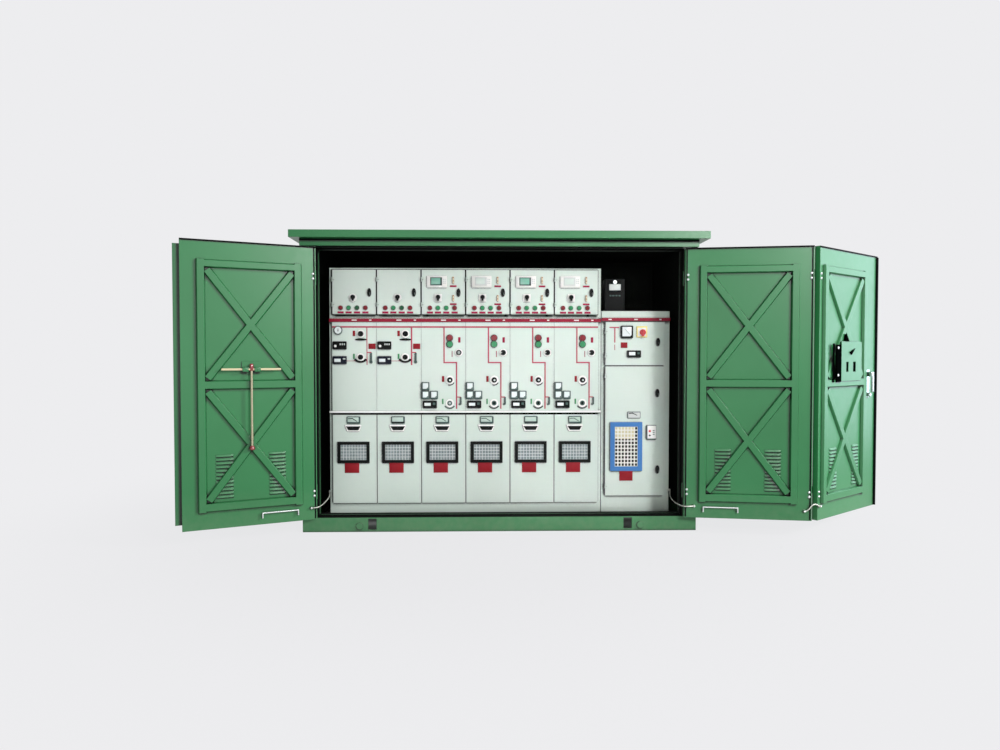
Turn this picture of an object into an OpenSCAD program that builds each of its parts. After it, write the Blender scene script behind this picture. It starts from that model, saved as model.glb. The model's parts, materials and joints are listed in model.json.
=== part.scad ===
// Outdoor ring main unit: a green steel kiosk with three door leaves, holding a
// six-bay medium-voltage switchgear line-up and a side cabinet.
// Origin: centre of the kiosk's footprint on the ground. +X right, -Y front, +Z up.

/* [Kiosk] */
// Width over the corner posts and the base
body_w = 2750; // [2300:10:3400]
// Depth from the door plane to the back of the rear wall
body_d = 1200; // [1150:10:1600]
// Height of the base frame
base_h = 100; // [70:5:160]
// Height of the eaves above the ground
eaves_z = 2030; // [2030:10:2500]
// Thickness of the side and rear walls
wall_t = 40; // [20:1:60]
// Width of each front corner post
post_w = 93; // [60:1:140]
// Depth of the corner posts and of the header
post_d = 105; // [90:5:240]
// Height of the header above the doors
header_h = 55; // [40:1:90]
// How far the door stops and rear lips stand into the opening
lip_w = 8; // [4:1:12]
// Thickness of the stops and lips
lip_t = 3; // [2:0.5:5]

/* [Roof and fascia] */
// Roof overhang beyond the front and the back
roof_over_y = 90; // [40:5:160]
// Roof overhang beyond each side
roof_over_x = 62; // [20:1:120]
// Height of the roof's edge
roof_edge = 50; // [30:1:80]
// Rise from the edge to the ridge
roof_rise = 60; // [10:5:110]
// Height of the fascia under the roof
fascia_h = 46; // [30:1:54]
// How far the fascia stands in front of the posts
fascia_proud = 15; // [6:1:25]
// How far the fascia reaches past each post
fascia_side = 7; // [0:1:20]

/* [Base frame] */
// Thickness of the base channels
channel_t = 6; // [4:0.5:10]
// Depth of the front rail's top flange
flange_d = 160; // [90:5:200]
// Gap between the rear rail's top flange and the cabinets
rear_gap = 10; // [5:1:40]
// Width of the side rails and of the bearers under the cabinets
bearer_w = 120; // [60:5:140]
// Height of the bearers that carry the cabinets
bearer_h = 60; // [30:5:66]
// Distance of each lifting slot from the middle
slot_x = 893; // [850:1:940]
// Width of a lifting slot
slot_w = 58; // [40:1:80]
// Height of a lifting slot
slot_h = 76; // [50:1:78]
// Height of the slot's lower edge
slot_z = 16; // [12:1:20]
// Distance of each round boss from the middle
boss_x = 981; // [960:1:1030]
// Diameter of a round boss
boss_d = 46; // [30:1:60]
// Height of the middle of a round boss
boss_z = 42; // [32:1:60]

/* [Door leaves] */
// Thickness of a leaf
leaf_t = 38; // [25:1:40]
// Gap between a leaf and the post, the header and the base
leaf_gap = 5; // [5:0.5:8]
// Gap between two leaves when they are closed
fold_gap = 8; // [6:0.5:14]
// Angle at which the left leaf stands open
left_angle = 156; // [120:1:160]
// Angle at which the middle leaf stands open
middle_angle = 171; // [150:1:172]
// Fold between the middle and the right leaf
fold_angle = 46; // [20:1:90]
// Distance from the hinge edge to the raised frame
frame_in = 93; // [60:1:140]
// Distance from the fold to the right leaf's raised frame
right_frame_in = 40; // [30:1:93]
// Distance from the right leaf's raised frame to its free edge, where the handle is
right_frame_out = 178; // [140:1:190]
// Width of the raised frame's uprights
frame_bar = 57; // [40:1:80]
// Height of the frame's middle rail
frame_rail = 61; // [40:1:90]
// Distance from the leaf's bottom edge to the raised frame
frame_low = 113; // [80:1:160]
// Distance from the leaf's top edge to the raised frame
frame_high = 125; // [80:1:160]
// Height of the frame's top rail
top_rail = 55; // [30:1:90]
// Height of the middle rail's centre above the leaf's bottom edge
rail_z = 933; // [800:1:1050]
// How far the raised frame stands off the leaf
frame_t = 18; // [10:1:22]
// Width of a cross brace
brace_w = 56; // [30:1:70]
// How far a cross brace stands off the leaf
brace_t = 14; // [8:1:17]
// Width of a folded bar's sloping side
slope = 8; // [3:1:12]
// From an opening's corner to the square end of a cross brace
brace_end = 16; // [8:1:40]
// Width of the cover strip beyond the left leaf's free edge
cover_out = 40; // [20:1:50]
// Thickness of the cover strip
cover_t = 3; // [2:0.5:6]

/* [Leaf hinges] */
// Diameter of a leaf hinge's barrel
barrel_d = 18; // [14:1:20]
// Diameter of a leaf hinge's pin
pin_d = 10; // [6:0.5:11]
// Height of one knuckle
knuckle_h = 50; // [30:1:80]
// Height of the lower hinges
hinge_low_z = 285; // [220:5:500]
// Height of the upper hinges
hinge_high_z = 1765; // [1500:5:1800]
// Radial running clearance of every hinge pin
pin_fit = 0.08; // [0.03:0.01:0.1]

/* [Switchgear line-up] */
// Width of one bay
bay_w = 325; // [300:1:375]
// Number of bays
bays = 6; // [4:1:6]
// Left edge of the first bay
gear_x = -1224; // [-1300:1:-1150]
// Distance from the door plane to the front of the switchgear
gear_back = 270; // [250:5:330]
// Depth of the switchgear
gear_d = 800; // [600:10:850]
// Width of the strip at each end of the line-up
end_strip = 20; // [10:1:40]
// Thickness of the doors and front panels
door_t = 14; // [8:1:20]
// Gap behind a hinged switchgear door
door_back = 5; // [5:0.5:8]
// Gap on each side of a bay's door
door_side = 5; // [4:0.5:8]
// Bottom of the cable doors
cable_z0 = 146; // [120:1:180]
// Top of the cable doors
cable_z1 = 795; // [700:1:800]
// Bottom of the control panels
panel_z0 = 826; // [820:1:850]
// Top of the control panels
panel_z1 = 1472; // [1420:1:1474]
// Bottom of the low-voltage compartments
lv_z0 = 1502; // [1500:1:1530]
// Top of the low-voltage compartments
lv_z1 = 1869; // [1860:1:1900]
// Depth of the low-voltage compartments
lv_d = 400; // [250:10:500]
// Height of the red strip
strip_h = 22; // [14:1:24]

/* [Side cabinet] */
// Gap between the line-up and the side cabinet
side_gap = 6; // [2:1:20]
// Width of the side cabinet
side_w = 505; // [420:5:520]
// Top of the side cabinet
side_z1 = 1557; // [1520:1:1700]
// Bottom of the upper door
side_mid_z = 1158; // [1100:1:1200]
// Bottom of the lower door
side_low_z = 193; // [160:1:240]
// Frame left of the side cabinet's doors
side_left = 28; // [20:1:50]
// Frame right of the side cabinet's doors
side_right = 41; // [20:1:60]
// Wall thickness of the side cabinet and the low-voltage compartments
shell_t = 12; // [6:1:12]

/* [Operating lever] */
// Length of the lever's cross bar
lever_bar = 370; // [250:5:450]
// Diameter of the lever's bars
lever_d = 16; // [10:1:20]
// Length of the lever's stem
lever_stem = 530; // [400:5:600]
// Height of the cross bar above the leaf's bottom edge
lever_z = 1033; // [1000:1:1060]

/* [Hidden] */
$fn = 48;
green = "#3f8f5f";
mint = "#d7e4dc";
copper = "#d9d6c8";
cut = 1; // how far a cut runs past a face

front_y = -body_d / 2;
stop_y = front_y + leaf_t + 7; // a soft seal fills the 7 mm
rear_y = body_d / 2;
opening_w = body_w - 2 * post_w;
header_z = eaves_z - header_h;
leaf_z0 = base_h + leaf_gap;
leaf_h = header_z - leaf_gap - leaf_z0;
leaf_w = (opening_w - 2 * leaf_gap - 2 * fold_gap) / 3;

// a leaf's own frame: x along the leaf from the hinge axis, y into the kiosk
// when it is shut, with the hinge axis in front of the leaf's outer face
hinge_out = barrel_d / 2 + 1;
hinge_in = 2;
hinge_x = opening_w / 2 - leaf_gap + hinge_in;
fold_x = hinge_in + leaf_w + fold_gap / 2;
plate_l = 32;
plate_t = 4;
hinge_zs = [hinge_low_z, hinge_high_z];

gear_y = front_y + gear_back;
gear_body_y = gear_y + door_t;
frame_y = gear_body_y + door_back;
gear_rear = gear_y + gear_d;
rear_flange_d = rear_y - gear_rear - rear_gap;
gear_x1 = gear_x + bays * bay_w;
gear_l = gear_x - end_strip;
gear_r = gear_x1 + end_strip;
side_l = gear_r + side_gap;
side_r = side_l + side_w;
lv_door_z0 = lv_z0 + 29;
lv_door_z1 = lv_z1 - 15;
cavity_in = 12;
side_door_l = side_l + side_left;
side_door_r = side_r - side_right;
side_door_w = side_door_r - side_door_l;
side_door_z1 = side_z1 - 81;
door_split = 9;
proud = 3;

// small door hinges
small_d = 8;
small_pin = 4;
small_h = 16;
small_out = small_d / 2 + 1;
small_end = 70; // from a door's end to its hinge

// controls on a low-voltage door, from the bay's left edge and the door's bottom
lamp_z = 47;
lamp_us = [65, 123, 184, 245];
lamp_d = 32;
latch_u = 274;
latch_z = 159;
rotary_z = 120;
relay_box = [45, 195, 144, 84];
test_u = 235;

// controls on the control panels, from the bay's left edge
knob_d = 38;
meter_s = 54;
button_d = 42;

// bays 3 and up hold circuit breakers, the others load switches
breaker_first = 2;

// bonding leads, swept along hand-chosen points
lead_d = 8;
lead_sides = 8;
lead_left = [[-1285, -675, 187], [-1270, -676, 188], [-1253, -670, 190], [-1240, -648, 194],
    [-1231, -610, 199], [-1226, -560, 205], [-1225, -500, 210], [-1228, -440, 215],
    [-1234, -390, 220], [-1243, -350, 225], [-1252, -322, 228], [-1255, -300, 229]];
lead_right = [[1267, -300, 228], [1266, -322, 224], [1258, -350, 212], [1250, -390, 198],
    [1246, -440, 188], [1246, -500, 183], [1248, -560, 182], [1252, -610, 183],
    [1260, -650, 184], [1275, -674, 185], [1298, -684, 186], [1324, -682, 187], [1339, -678, 187]];
lead_fold = [[2060, -792, 172], [2072, -798, 176], [2086, -803, 190], [2098, -806, 208],
    [2112, -806, 220], [2128, -802, 222], [2144, -794, 216], [2160, -784, 207], [2174, -775, 202]];
lug_d = 16;
lug_t = 15;
lug_u = [42, 70, 800, 25]; // along the left, middle, middle and right leaf

function add(a, b) = [for (i = [0 : 2]) a[i] + b[i]];
function diff(a, b) = [for (i = [0 : 2]) a[i] - b[i]];
function unit(v) = v / norm(v);
function ends(p, i) = unit(diff(p[min(i + 1, len(p) - 1)], p[max(i - 1, 0)]));
function ring(p, i, r) =
    let (t = ends(p, i), a = unit(cross(t, [0, 0, 1])), b = cross(t, a))
    [for (k = [0 : lead_sides - 1])
        add(p[i], r * (cos(360 * k / lead_sides) * a + sin(360 * k / lead_sides) * b))];

module tube(p, d) {
    n = len(p);
    s = lead_sides;
    points = [for (i = [0 : n - 1]) each ring(p, i, d / 2)];
    walls = [for (i = [0 : n - 2], k = [0 : s - 1])
        [i * s + k, (i + 1) * s + k, (i + 1) * s + (k + 1) % s, i * s + (k + 1) % s]];
    start_cap = [[for (k = [0 : s - 1]) k]];
    end_cap = [[for (k = [0 : s - 1]) n * s - 1 - k]];
    polyhedron(points, concat(start_cap, walls, end_cap), convexity = 4);
}

module box(a, b) translate(a) cube(diff(b, a));
module bar_y(x, z, d, y0, y1) translate([x, y0, z]) rotate([-90, 0, 0]) cylinder(d = d, h = y1 - y0);

module on_left() translate([-hinge_x, front_y - hinge_out, 0]) rotate([0, 0, -left_angle]) children();
module on_middle() translate([hinge_x, front_y - hinge_out, 0])
    rotate([0, 0, middle_angle]) mirror([1, 0, 0]) children();
module on_right() on_middle() translate([fold_x, 0, 0]) rotate([0, 0, -fold_angle]) children();

// ---------------------------------------------------------------- base frame
module rail(flange) {
    difference() {
        union() {
            box([-body_w / 2, front_y, 0], [body_w / 2, front_y + channel_t, base_h]);
            box([-body_w / 2, front_y, base_h - channel_t], [body_w / 2, front_y + flange, base_h]);
            box([-body_w / 2, front_y, 0], [body_w / 2, front_y + channel_t * 3, channel_t]);
            for (s = [-1, 1]) {
                bar_y(s * boss_x, boss_z, boss_d, front_y - channel_t, front_y + channel_t / 2);
                x = s * (body_w - channel_t) / 2;
                box([x - channel_t / 2, front_y, 0], [x + channel_t / 2, front_y + flange, base_h]);
            }
        }
        for (s = [-1, 1])
            box([s * slot_x - slot_w / 2, front_y - cut, slot_z],
                [s * slot_x + slot_w / 2, front_y + channel_t + cut, slot_z + slot_h]);
    }
}

module base_rails() color(green) {
    rail(flange_d);
    rotate([0, 0, 180]) rail(rear_flange_d);
}

module base_bearers() color(green) {
    y0 = front_y + channel_t * 3;
    for (s = [-1, 1])
        box([s > 0 ? body_w / 2 - channel_t * 2 : -body_w / 2, front_y + flange_d, 0],
            [s > 0 ? body_w / 2 : -body_w / 2 + channel_t * 2, rear_y - rear_flange_d, base_h]);
    half = bearer_w / 2;
    for (x = [gear_l + half, gear_l / 2, 0, gear_r + side_gap / 2, side_r - half])
        box([x - half, y0, 0], [x + half, -y0, bearer_h]);
}

module door_stop() color(green)
    box([-opening_w / 2, stop_y, base_h], [opening_w / 2, stop_y + lip_t, base_h + lip_w]);

// ---------------------------------------------------------------- shell
module post() {
    inner = opening_w / 2;
    box([inner, front_y, base_h], [body_w / 2, front_y + post_d, header_z]);
    box([inner - lip_w, stop_y, base_h + lip_w], [inner + lip_t, stop_y + lip_t, header_z - lip_w]);
    box([inner - lip_w, front_y + post_d - lip_t, base_h], [inner + lip_t, front_y + post_d, header_z - lip_w]);
}

module post_right() color(green) post();
module post_left() color(green) mirror([1, 0, 0]) post();

module header() color(green) {
    half = opening_w / 2;
    box([-body_w / 2, front_y, header_z], [body_w / 2, front_y + post_d, eaves_z]);
    box([-body_w / 2 - fascia_side, front_y - fascia_proud, eaves_z - fascia_h],
        [body_w / 2 + fascia_side, front_y + cut, eaves_z]);
    box([-half, stop_y, header_z - lip_w], [half, stop_y + lip_t, header_z + lip_t]);
    box([-half, front_y + post_d - lip_t, header_z - lip_w], [half, front_y + post_d, header_z + lip_t]);
}

module side_wall() box([body_w / 2 - wall_t, front_y + post_d, base_h], [body_w / 2, rear_y - wall_t, eaves_z]);
module wall_right() color(green) side_wall();
module wall_left() color(green) mirror([1, 0, 0]) side_wall();
module wall_rear() color(green) box([-body_w / 2, rear_y - wall_t, base_h], [body_w / 2, rear_y, eaves_z]);

module roof() color(green) {
    y = rear_y + roof_over_y;
    w = body_w + 2 * roof_over_x;
    translate([-w / 2, 0, eaves_z]) rotate([90, 0, 90]) linear_extrude(w)
        polygon([[-y, 0], [y, 0], [y, roof_edge], [0, roof_edge + roof_rise], [-y, roof_edge]]);
}

// ---------------------------------------------------------------- leaf hinges
module fixed_knuckle(z) {
    translate([0, 0, z - knuckle_h]) cylinder(d = barrel_d, h = knuckle_h - 0.5);
    translate([0, 0, z - 1]) cylinder(d = pin_d, h = knuckle_h);
    box([-plate_l, hinge_out - plate_t, z - knuckle_h], [0, hinge_out, z - 0.5]);
}

module moving_knuckle(z) {
    difference() {
        union() {
            translate([0, 0, z]) cylinder(d = barrel_d, h = knuckle_h);
            box([0, hinge_out - plate_t, z], [plate_l, hinge_out + cut, z + knuckle_h]);
        }
        translate([0, 0, z - cut]) cylinder(d = pin_d + 2 * pin_fit, h = knuckle_h + 2 * cut);
    }
}

module hinges_left() color(green) translate([-hinge_x, front_y - hinge_out, 0])
    for (z = hinge_zs) fixed_knuckle(z);

// the two leaves on the right are a folding pair and stand still, so each of
// their hinges is one piece
module static_hinge(z, turn) {
    translate([0, 0, z - knuckle_h]) cylinder(d = barrel_d, h = 2 * knuckle_h);
    box([0, hinge_out - plate_t, z], [plate_l, hinge_out, z + knuckle_h]);
    rotate([0, 0, turn]) box([-plate_l, hinge_out - plate_t, z - knuckle_h], [0, hinge_out, z]);
}

module hinges_folding() color(green) {
    on_middle() for (z = hinge_zs) static_hinge(z, middle_angle);
    on_right() for (z = hinge_zs) static_hinge(z, fold_angle);
}

// ---------------------------------------------------------------- leaves
module leaf_slab(u0) box([u0, hinge_out, leaf_z0], [u0 + leaf_w, hinge_out + leaf_t, leaf_z0 + leaf_h]);

// raised frame with two crosses of folded bars; u0 is the leaf's hinge edge
module leaf_braces(u0, near, far) {
    face = hinge_out + leaf_t;
    x0 = u0 + near;
    x1 = u0 + leaf_w - far;
    z0 = leaf_z0 + frame_low;
    z1 = leaf_z0 + leaf_h - frame_high;
    mid = leaf_z0 + rail_z;
    ix0 = x0 + frame_bar;
    ix1 = x1 - frame_bar;
    half = frame_bar / 2;
    lows = [z0 + frame_rail, mid + frame_rail / 2];
    highs = [mid - frame_rail / 2, z1 - top_rail];
    for (x = [x0 + half, x1 - half]) folded_bar([x, face, z0], [x, face, z1], frame_bar, frame_t);
    folded_bar([x0 + half, face, z0 + frame_rail / 2], [x1 - half, face, z0 + frame_rail / 2], frame_rail, frame_t);
    folded_bar([x0 + half, face, mid], [x1 - half, face, mid], frame_rail, frame_t);
    folded_bar([x0 + half, face, z1 - top_rail / 2], [x1 - half, face, z1 - top_rail / 2], top_rail, frame_t);
    for (i = [0, 1]) {
        brace([ix0, face, lows[i]], [ix1, face, highs[i]]);
        brace([ix0, face, highs[i]], [ix1, face, lows[i]]);
    }
}

// bar folded from sheet, with sloping sides and square ends
module folded_bar(a, b, w, t) {
    v = diff(b, a);
    translate(a) rotate([0, -atan2(v[2], v[0]), 0]) translate([0, 0, -w / 2])
        rotate([90, 0, 90]) linear_extrude(norm(v)) polygon([[0, 0], [0, w], [t, w - slope], [t, slope]]);
}

// folded bar that crosses an opening from near one corner to near the other
module brace(a, b) {
    along = brace_end * unit(diff(b, a));
    folded_bar(add(a, along), diff(b, along), brace_w, brace_t);
}

// rod that is hooked over two studs at the foot of a leaf
module stay(u0) {
    face = hinge_out + leaf_t;
    z = leaf_z0 + 78;
    x0 = u0 + 128;
    x1 = u0 + 358;
    rod = 9;
    reach = 16;
    difference() {
        union() {
            translate([x0, face + reach, z]) rotate([0, 90, 0]) cylinder(d = rod, h = x1 - x0);
            for (x = [x0, x1]) {
                translate([x, face + reach, z]) sphere(d = rod);
                translate([x, face + reach, z - 34]) cylinder(d = rod, h = 34);
            }
        }
        for (x = [x0, x1]) bar_y(x, z - 26, 4, face, face + reach + rod);
    }
    for (x = [x0, x1]) bar_y(x, z - 26, 3.9, face, face + reach + rod / 2 + 2);
}

module leaf_left() color(green) on_left() {
    leaf_slab(hinge_in);
    leaf_lug(lug_u[0], lead_left[0][2]);
    for (z = hinge_zs) moving_knuckle(z);
}

module braces_left() color(green) on_left() leaf_braces(hinge_in, frame_in, frame_in);

module cover_strip() color(green) on_left()
    box([hinge_in + leaf_w - 25, hinge_out - cover_t, leaf_z0 + 35],
        [hinge_in + leaf_w + cover_out, hinge_out, leaf_z0 + leaf_h - 30]);

module stay_left() color("#c9cfc6") on_left() stay(hinge_in);
module stay_middle() color("#c9cfc6") on_middle() stay(hinge_in);

lever_u = hinge_in + leaf_w / 2;
lever_y = hinge_out + leaf_t + 34;

module lever_clip() color(green) on_left() {
    face = hinge_out + leaf_t;
    z = leaf_z0 + lever_z;
    gap = lever_d / 2 + 0.3;
    box([lever_u - 57, face, z - 30], [lever_u + 57, face + 4, z + 52]);
    for (s = [-1, 1]) {
        x = lever_u + s * 45;
        box([x - 8, face, z - gap - 6], [x + 8, lever_y + gap + 5, z - gap]);
        box([x - 8, lever_y + gap, z - gap - 6], [x + 8, lever_y + gap + 5, z + 4]);
    }
}

module lever() color("#e8dcc0") on_left() {
    z = leaf_z0 + lever_z;
    translate([lever_u - lever_bar / 2, lever_y, z]) rotate([0, 90, 0]) cylinder(d = lever_d, h = lever_bar);
    translate([lever_u, lever_y, z - lever_stem]) cylinder(d = lever_d - 1, h = lever_stem);
    translate([lever_u, lever_y, z - lever_stem]) cylinder(d = 34, h = 30);
    translate([lever_u, lever_y, z]) cylinder(d = 24, h = 38);
}

module leaf_middle() color(green) on_middle() leaf_slab(hinge_in);
module braces_middle() color(green) on_middle() leaf_braces(hinge_in, frame_in, frame_in);

// the right leaf's own frame starts at the fold axis
right_u0 = fold_gap / 2;
module leaf_right() color(green) on_right() leaf_slab(right_u0);
module braces_right() color(green) on_right() leaf_braces(right_u0, right_frame_in, right_frame_out);

lock_u = right_u0 + 267;
lock_w = 300;
lock_z = leaf_z0 + 945;
lock_h = 278;
module lock_plate() color(green) on_right() {
    y = hinge_out + leaf_t + frame_t;
    difference() {
        box([lock_u, y, lock_z], [lock_u + lock_w, y + 5, lock_z + lock_h]);
        for (slot = [[86, 16], [191, 20]])
            box([lock_u + slot[0] - slot[1], y - cut, lock_z + 64],
                [lock_u + slot[0] + slot[1], y + 5 + cut, lock_z + 134]);
    }
}

module lock_rods() color("#1b1d1c") on_right() {
    y = hinge_out + leaf_t + frame_t;
    box([lock_u - 70, y, lock_z - 6], [lock_u - 8, y + 8, lock_z + 254]);
    box([lock_u - 118, y, lock_z - 6], [lock_u - 100, y + 6, lock_z + 262]);
}

module lock_handle() color("#d5dadb") on_right() {
    y = hinge_out + leaf_t;
    u = right_u0 + leaf_w - 132;
    z = leaf_z0 + 815;
    box([u - 34, y, z], [u + 22, y + 6, z + 205]);
    box([u - 30, y, z + 155], [u + 12, y + 44, z + 190]);
    box([u - 14, y + 30, z + 40], [u + 12, y + 44, z + 190]);
    bar_y(u - 12, z + 22, 30, y, y + 30);
}

// ---------------------------------------------------------------- line-up
module gear_body() color(mint)
    box([gear_l, gear_body_y, bearer_h], [gear_r, gear_rear, lv_z0]);

module lv_box() color(mint) {
    difference() {
        box([gear_l, frame_y, lv_z0], [gear_r, frame_y + lv_d, lv_z1]);
        for (i = [0 : bays - 1]) {
            x = gear_x + i * bay_w;
            box([x + cavity_in, frame_y - cut, lv_z0 + shell_t],
                [x + bay_w - cavity_in, frame_y + lv_d - shell_t, lv_z1 - shell_t]);
        }
    }
    for (i = [0 : bays - 1], z = [lv_door_z0, lv_door_z1])
        small_fixed(gear_x + i * bay_w + door_side, z + (z == lv_door_z0 ? small_end : -small_end));
}

module red_strips() color("#b01838") {
    z = lv_z0 - 4;
    box([gear_l, gear_y - proud, z - strip_h], [gear_r, gear_body_y, z]);
    box([side_l, gear_y - proud, z - strip_h + 8], [side_r, frame_y, z + 8]);
}

module control_panels() color(mint) for (i = [0 : bays - 1]) {
    x = gear_x + i * bay_w;
    box([x + 1, gear_y, panel_z0], [x + bay_w - 1, gear_body_y, panel_z1]);
}

module waist_trim() color("white")
    box([gear_l, gear_y - proud, panel_z0 - 16], [gear_r, gear_body_y, panel_z0 - 2]);

module cable_doors() color(mint) for (i = [0 : bays - 1]) {
    x = gear_x + i * bay_w;
    mid = x + 151;
    difference() {
        box([x + 3, gear_y, cable_z0], [x + bay_w - 3, gear_body_y, cable_z1]);
        translate([mid, gear_y + 9, cable_z1 - 112]) rotate([90, 0, 0]) linear_extrude(9 + cut)
            polygon([[-38, 0], [38, 0], [53, 32], [-53, 32]]);
    }
}

module cable_windows() color("#17191a") for (i = [0 : bays - 1]) {
    x = gear_x + i * bay_w;
    z = cable_z0 + 296;
    difference() {
        box([x + 38, gear_y - 8, z], [x + 270, gear_y, z + 156]);
        box([x + 62, gear_y - 8 - cut, z + 18], [x + 251, gear_y - 3, z + 134]);
    }
    box([x + 106, gear_y - 4, cable_z1 - 64], [x + 204, gear_y, cable_z1 - 12]);
}

// ---------------------------------------------------------------- small hinges
// fixed half: a strap from the frame behind, a knuckle and the pin
module small_fixed(x, z) translate([x, gear_y - small_out, z]) {
    translate([0, 0, -small_h]) cylinder(d = small_d, h = small_h - 0.5);
    translate([0, 0, -1]) cylinder(d = small_pin, h = small_h);
    box([-small_d / 2, 0, -small_h], [-small_d / 2 + 2, small_out + door_t + door_back + cut, -0.5]);
}

module small_moving(x, z) translate([x, gear_y - small_out, z]) difference() {
    union() {
        cylinder(d = small_d, h = small_h);
        box([0, small_out - 2, 0], [14, small_out + cut, small_h]);
    }
    translate([0, 0, -cut]) cylinder(d = small_pin + 2 * pin_fit, h = small_h + 2 * cut);
}

// hinged sheet door: its left edge is on the hinge axis
module small_door(x0, x1, z0, z1) {
    box([x0, gear_y, z0], [x1, gear_y + door_t, z1]);
    small_moving(x0, z0 + small_end);
    small_moving(x0, z1 - small_end);
}

module latch(x, z) {
    bar_y(x, z + 16, 22, gear_y - 7, gear_y);
    bar_y(x, z - 16, 22, gear_y - 7, gear_y);
    box([x - 11, gear_y - 7, z - 16], [x + 11, gear_y, z + 16]);
}

module lv_door(i) color(mint) {
    x = gear_x + i * bay_w;
    small_door(x + door_side, x + bay_w - door_side, lv_door_z0, lv_door_z1);
}

module lv_panel(i) color("#202423") {
    x = gear_x + i * bay_w;
    z = lv_door_z0;
    breaker = i >= breaker_first;
    rotary_u = breaker ? 124 : 154;
    for (u = lamp_us) bar_y(x + u, z + lamp_z, lamp_d, gear_y - 12, gear_y);
    bar_y(x + rotary_u, z + rotary_z, 40, gear_y - 6, gear_y);
    bar_y(x + rotary_u, z + rotary_z, 24, gear_y - 28, gear_y - 5);
    latch(x + latch_u, z + latch_z);
    if (breaker) {
        box([x + relay_box[0], gear_y - 16, z + relay_box[1]],
            [x + relay_box[0] + relay_box[2], gear_y, z + relay_box[1] + relay_box[3]]);
        for (dz = [222, 96]) box([x + test_u - 8, gear_y - 8, z + dz], [x + test_u + 8, gear_y, z + dz + 50]);
    }
}

module lv_door_1() lv_door(0);
module lv_door_2() lv_door(1);
module lv_door_3() lv_door(2);
module lv_door_4() lv_door(3);
module lv_door_5() lv_door(4);
module lv_door_6() lv_door(5);
module lv_panel_1() lv_panel(0);
module lv_panel_2() lv_panel(1);
module lv_panel_3() lv_panel(2);
module lv_panel_4() lv_panel(3);
module lv_panel_5() lv_panel(4);
module lv_panel_6() lv_panel(5);

// ---------------------------------------------------------------- panel controls
module disc(x, z, d, t) bar_y(x, z, d, gear_y - t, gear_y);
module block(x0, x1, z0, z1, t) box([x0, gear_y - t, z0], [x1, gear_y, z1]);

// operating shaft with a raised collar
module shaft_port(x, z) {
    disc(x, z, knob_d, 10);
    bar_y(x, z, knob_d * 0.6, gear_y - 22, gear_y - 9);
}

module switch_controls() color("#202423") for (i = [0 : min(breaker_first, bays) - 1]) {
    x = gear_x + i * bay_w;
    if (i == 0) disc(x + 46, panel_z1 - 58, 62, 14);
    shaft_port(x + 210, panel_z1 - 84);
    block(x + 169, x + 253, panel_z1 - 131, panel_z1 - 121, 6);
    block(x + 8, x + 107, panel_z1 - 195, panel_z1 - 141, 12);
    block(x + 8, x + 107, panel_z1 - 303, panel_z1 - 248, 12);
    shaft_port(x + 208, panel_z1 - 255);
    block(x + 280, x + 292, panel_z1 - 270, panel_z1 - 212, 14);
}

module breaker_controls() color("#202423") if (bays > breaker_first)
    for (i = [breaker_first : bays - 1]) {
        x = gear_x + i * bay_w;
        disc(x + 206, panel_z1 - 113, button_d, 12);
        disc(x + 211, panel_z1 - 160, button_d, 12);
        disc(x + 275, panel_z1 - 221, knob_d, 8);
        shaft_port(x + 209, panel_z0 + 226);
        block(x + 4, x + 4 + meter_s, panel_z0 + 149, panel_z0 + 149 + meter_s, 12);
        block(x + 4, x + 4 + meter_s, panel_z0 + 86, panel_z0 + 86 + meter_s, 12);
        block(x + 66, x + 66 + meter_s, panel_z0 + 86, panel_z0 + 86 + meter_s, 12);
        block(x + 12, x + 113, panel_z0 + 19, panel_z0 + 70, 12);
        shaft_port(x + 208, panel_z0 + 54);
        block(x + 277, x + 289, panel_z0 + 44, panel_z0 + 98, 14);
    }

// ---------------------------------------------------------------- side cabinet
module side_housing() color(mint) {
    x0 = side_door_l + cavity_in;
    x1 = side_door_r - cavity_in;
    mid = side_mid_z - door_split / 2;
    difference() {
        box([side_l, frame_y, bearer_h], [side_r, gear_rear, side_z1]);
        box([x0, frame_y - cut, mid + shell_t], [x1, frame_y + lv_d, side_door_z1 - shell_t]);
        box([x0, frame_y - cut, side_low_z + shell_t], [x1, gear_rear - shell_t, mid - shell_t]);
    }
    for (z = [side_mid_z + small_end, side_door_z1 - small_end, side_low_z + small_end,
              side_mid_z - door_split - small_end])
        small_fixed(side_door_l, z);
}

module side_upper_door() color(mint)
    small_door(side_door_l, side_door_r, side_mid_z, side_door_z1);

module side_lower_door() color(mint)
    small_door(side_door_l, side_door_r, side_low_z, side_mid_z - door_split);

module side_upper_controls() color("#202423") {
    x = side_door_l;
    z = side_mid_z;
    block(x + 113, x + 201, z + 200, z + 290, 14);
    block(x + 228, x + 307, z + 205, z + 287, 6);
    bar_y(x + 273, z + 238, 34, gear_y - 32, gear_y - 5);
    block(x + 160, x + 261, z + 59, z + 108, 12);
    latch(x + 389, z + 171);
}

module side_window() color("#2a6fb8") {
    x = side_door_l + 36;
    z = side_low_z + 184;
    difference() {
        block(x, x + 237, z, z + 361, 10);
        for (c = [0 : 6], r = [0 : 10])
            box([x + 37 + c * 24, gear_y - 10 - cut, z + 41 + r * 26],
                [x + 37 + c * 24 + 19, gear_y - 5, z + 41 + r * 26 + 20]);
    }
}

module side_lower_fittings() color("#202423") {
    x = side_door_l;
    z = side_low_z;
    block(x + 305, x + 376, z + 417, z + 521, 22);
    block(x + 164, x + 260, z + 574, z + 622, 4);
    latch(x + 386, z + 760);
    latch(x + 389, z + 194);
}

module monitor_unit() color("#1f2324")
    box([side_l + 28, frame_y + 6, side_z1], [side_l + 172, frame_y + 116, side_z1 + 236]);

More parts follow.
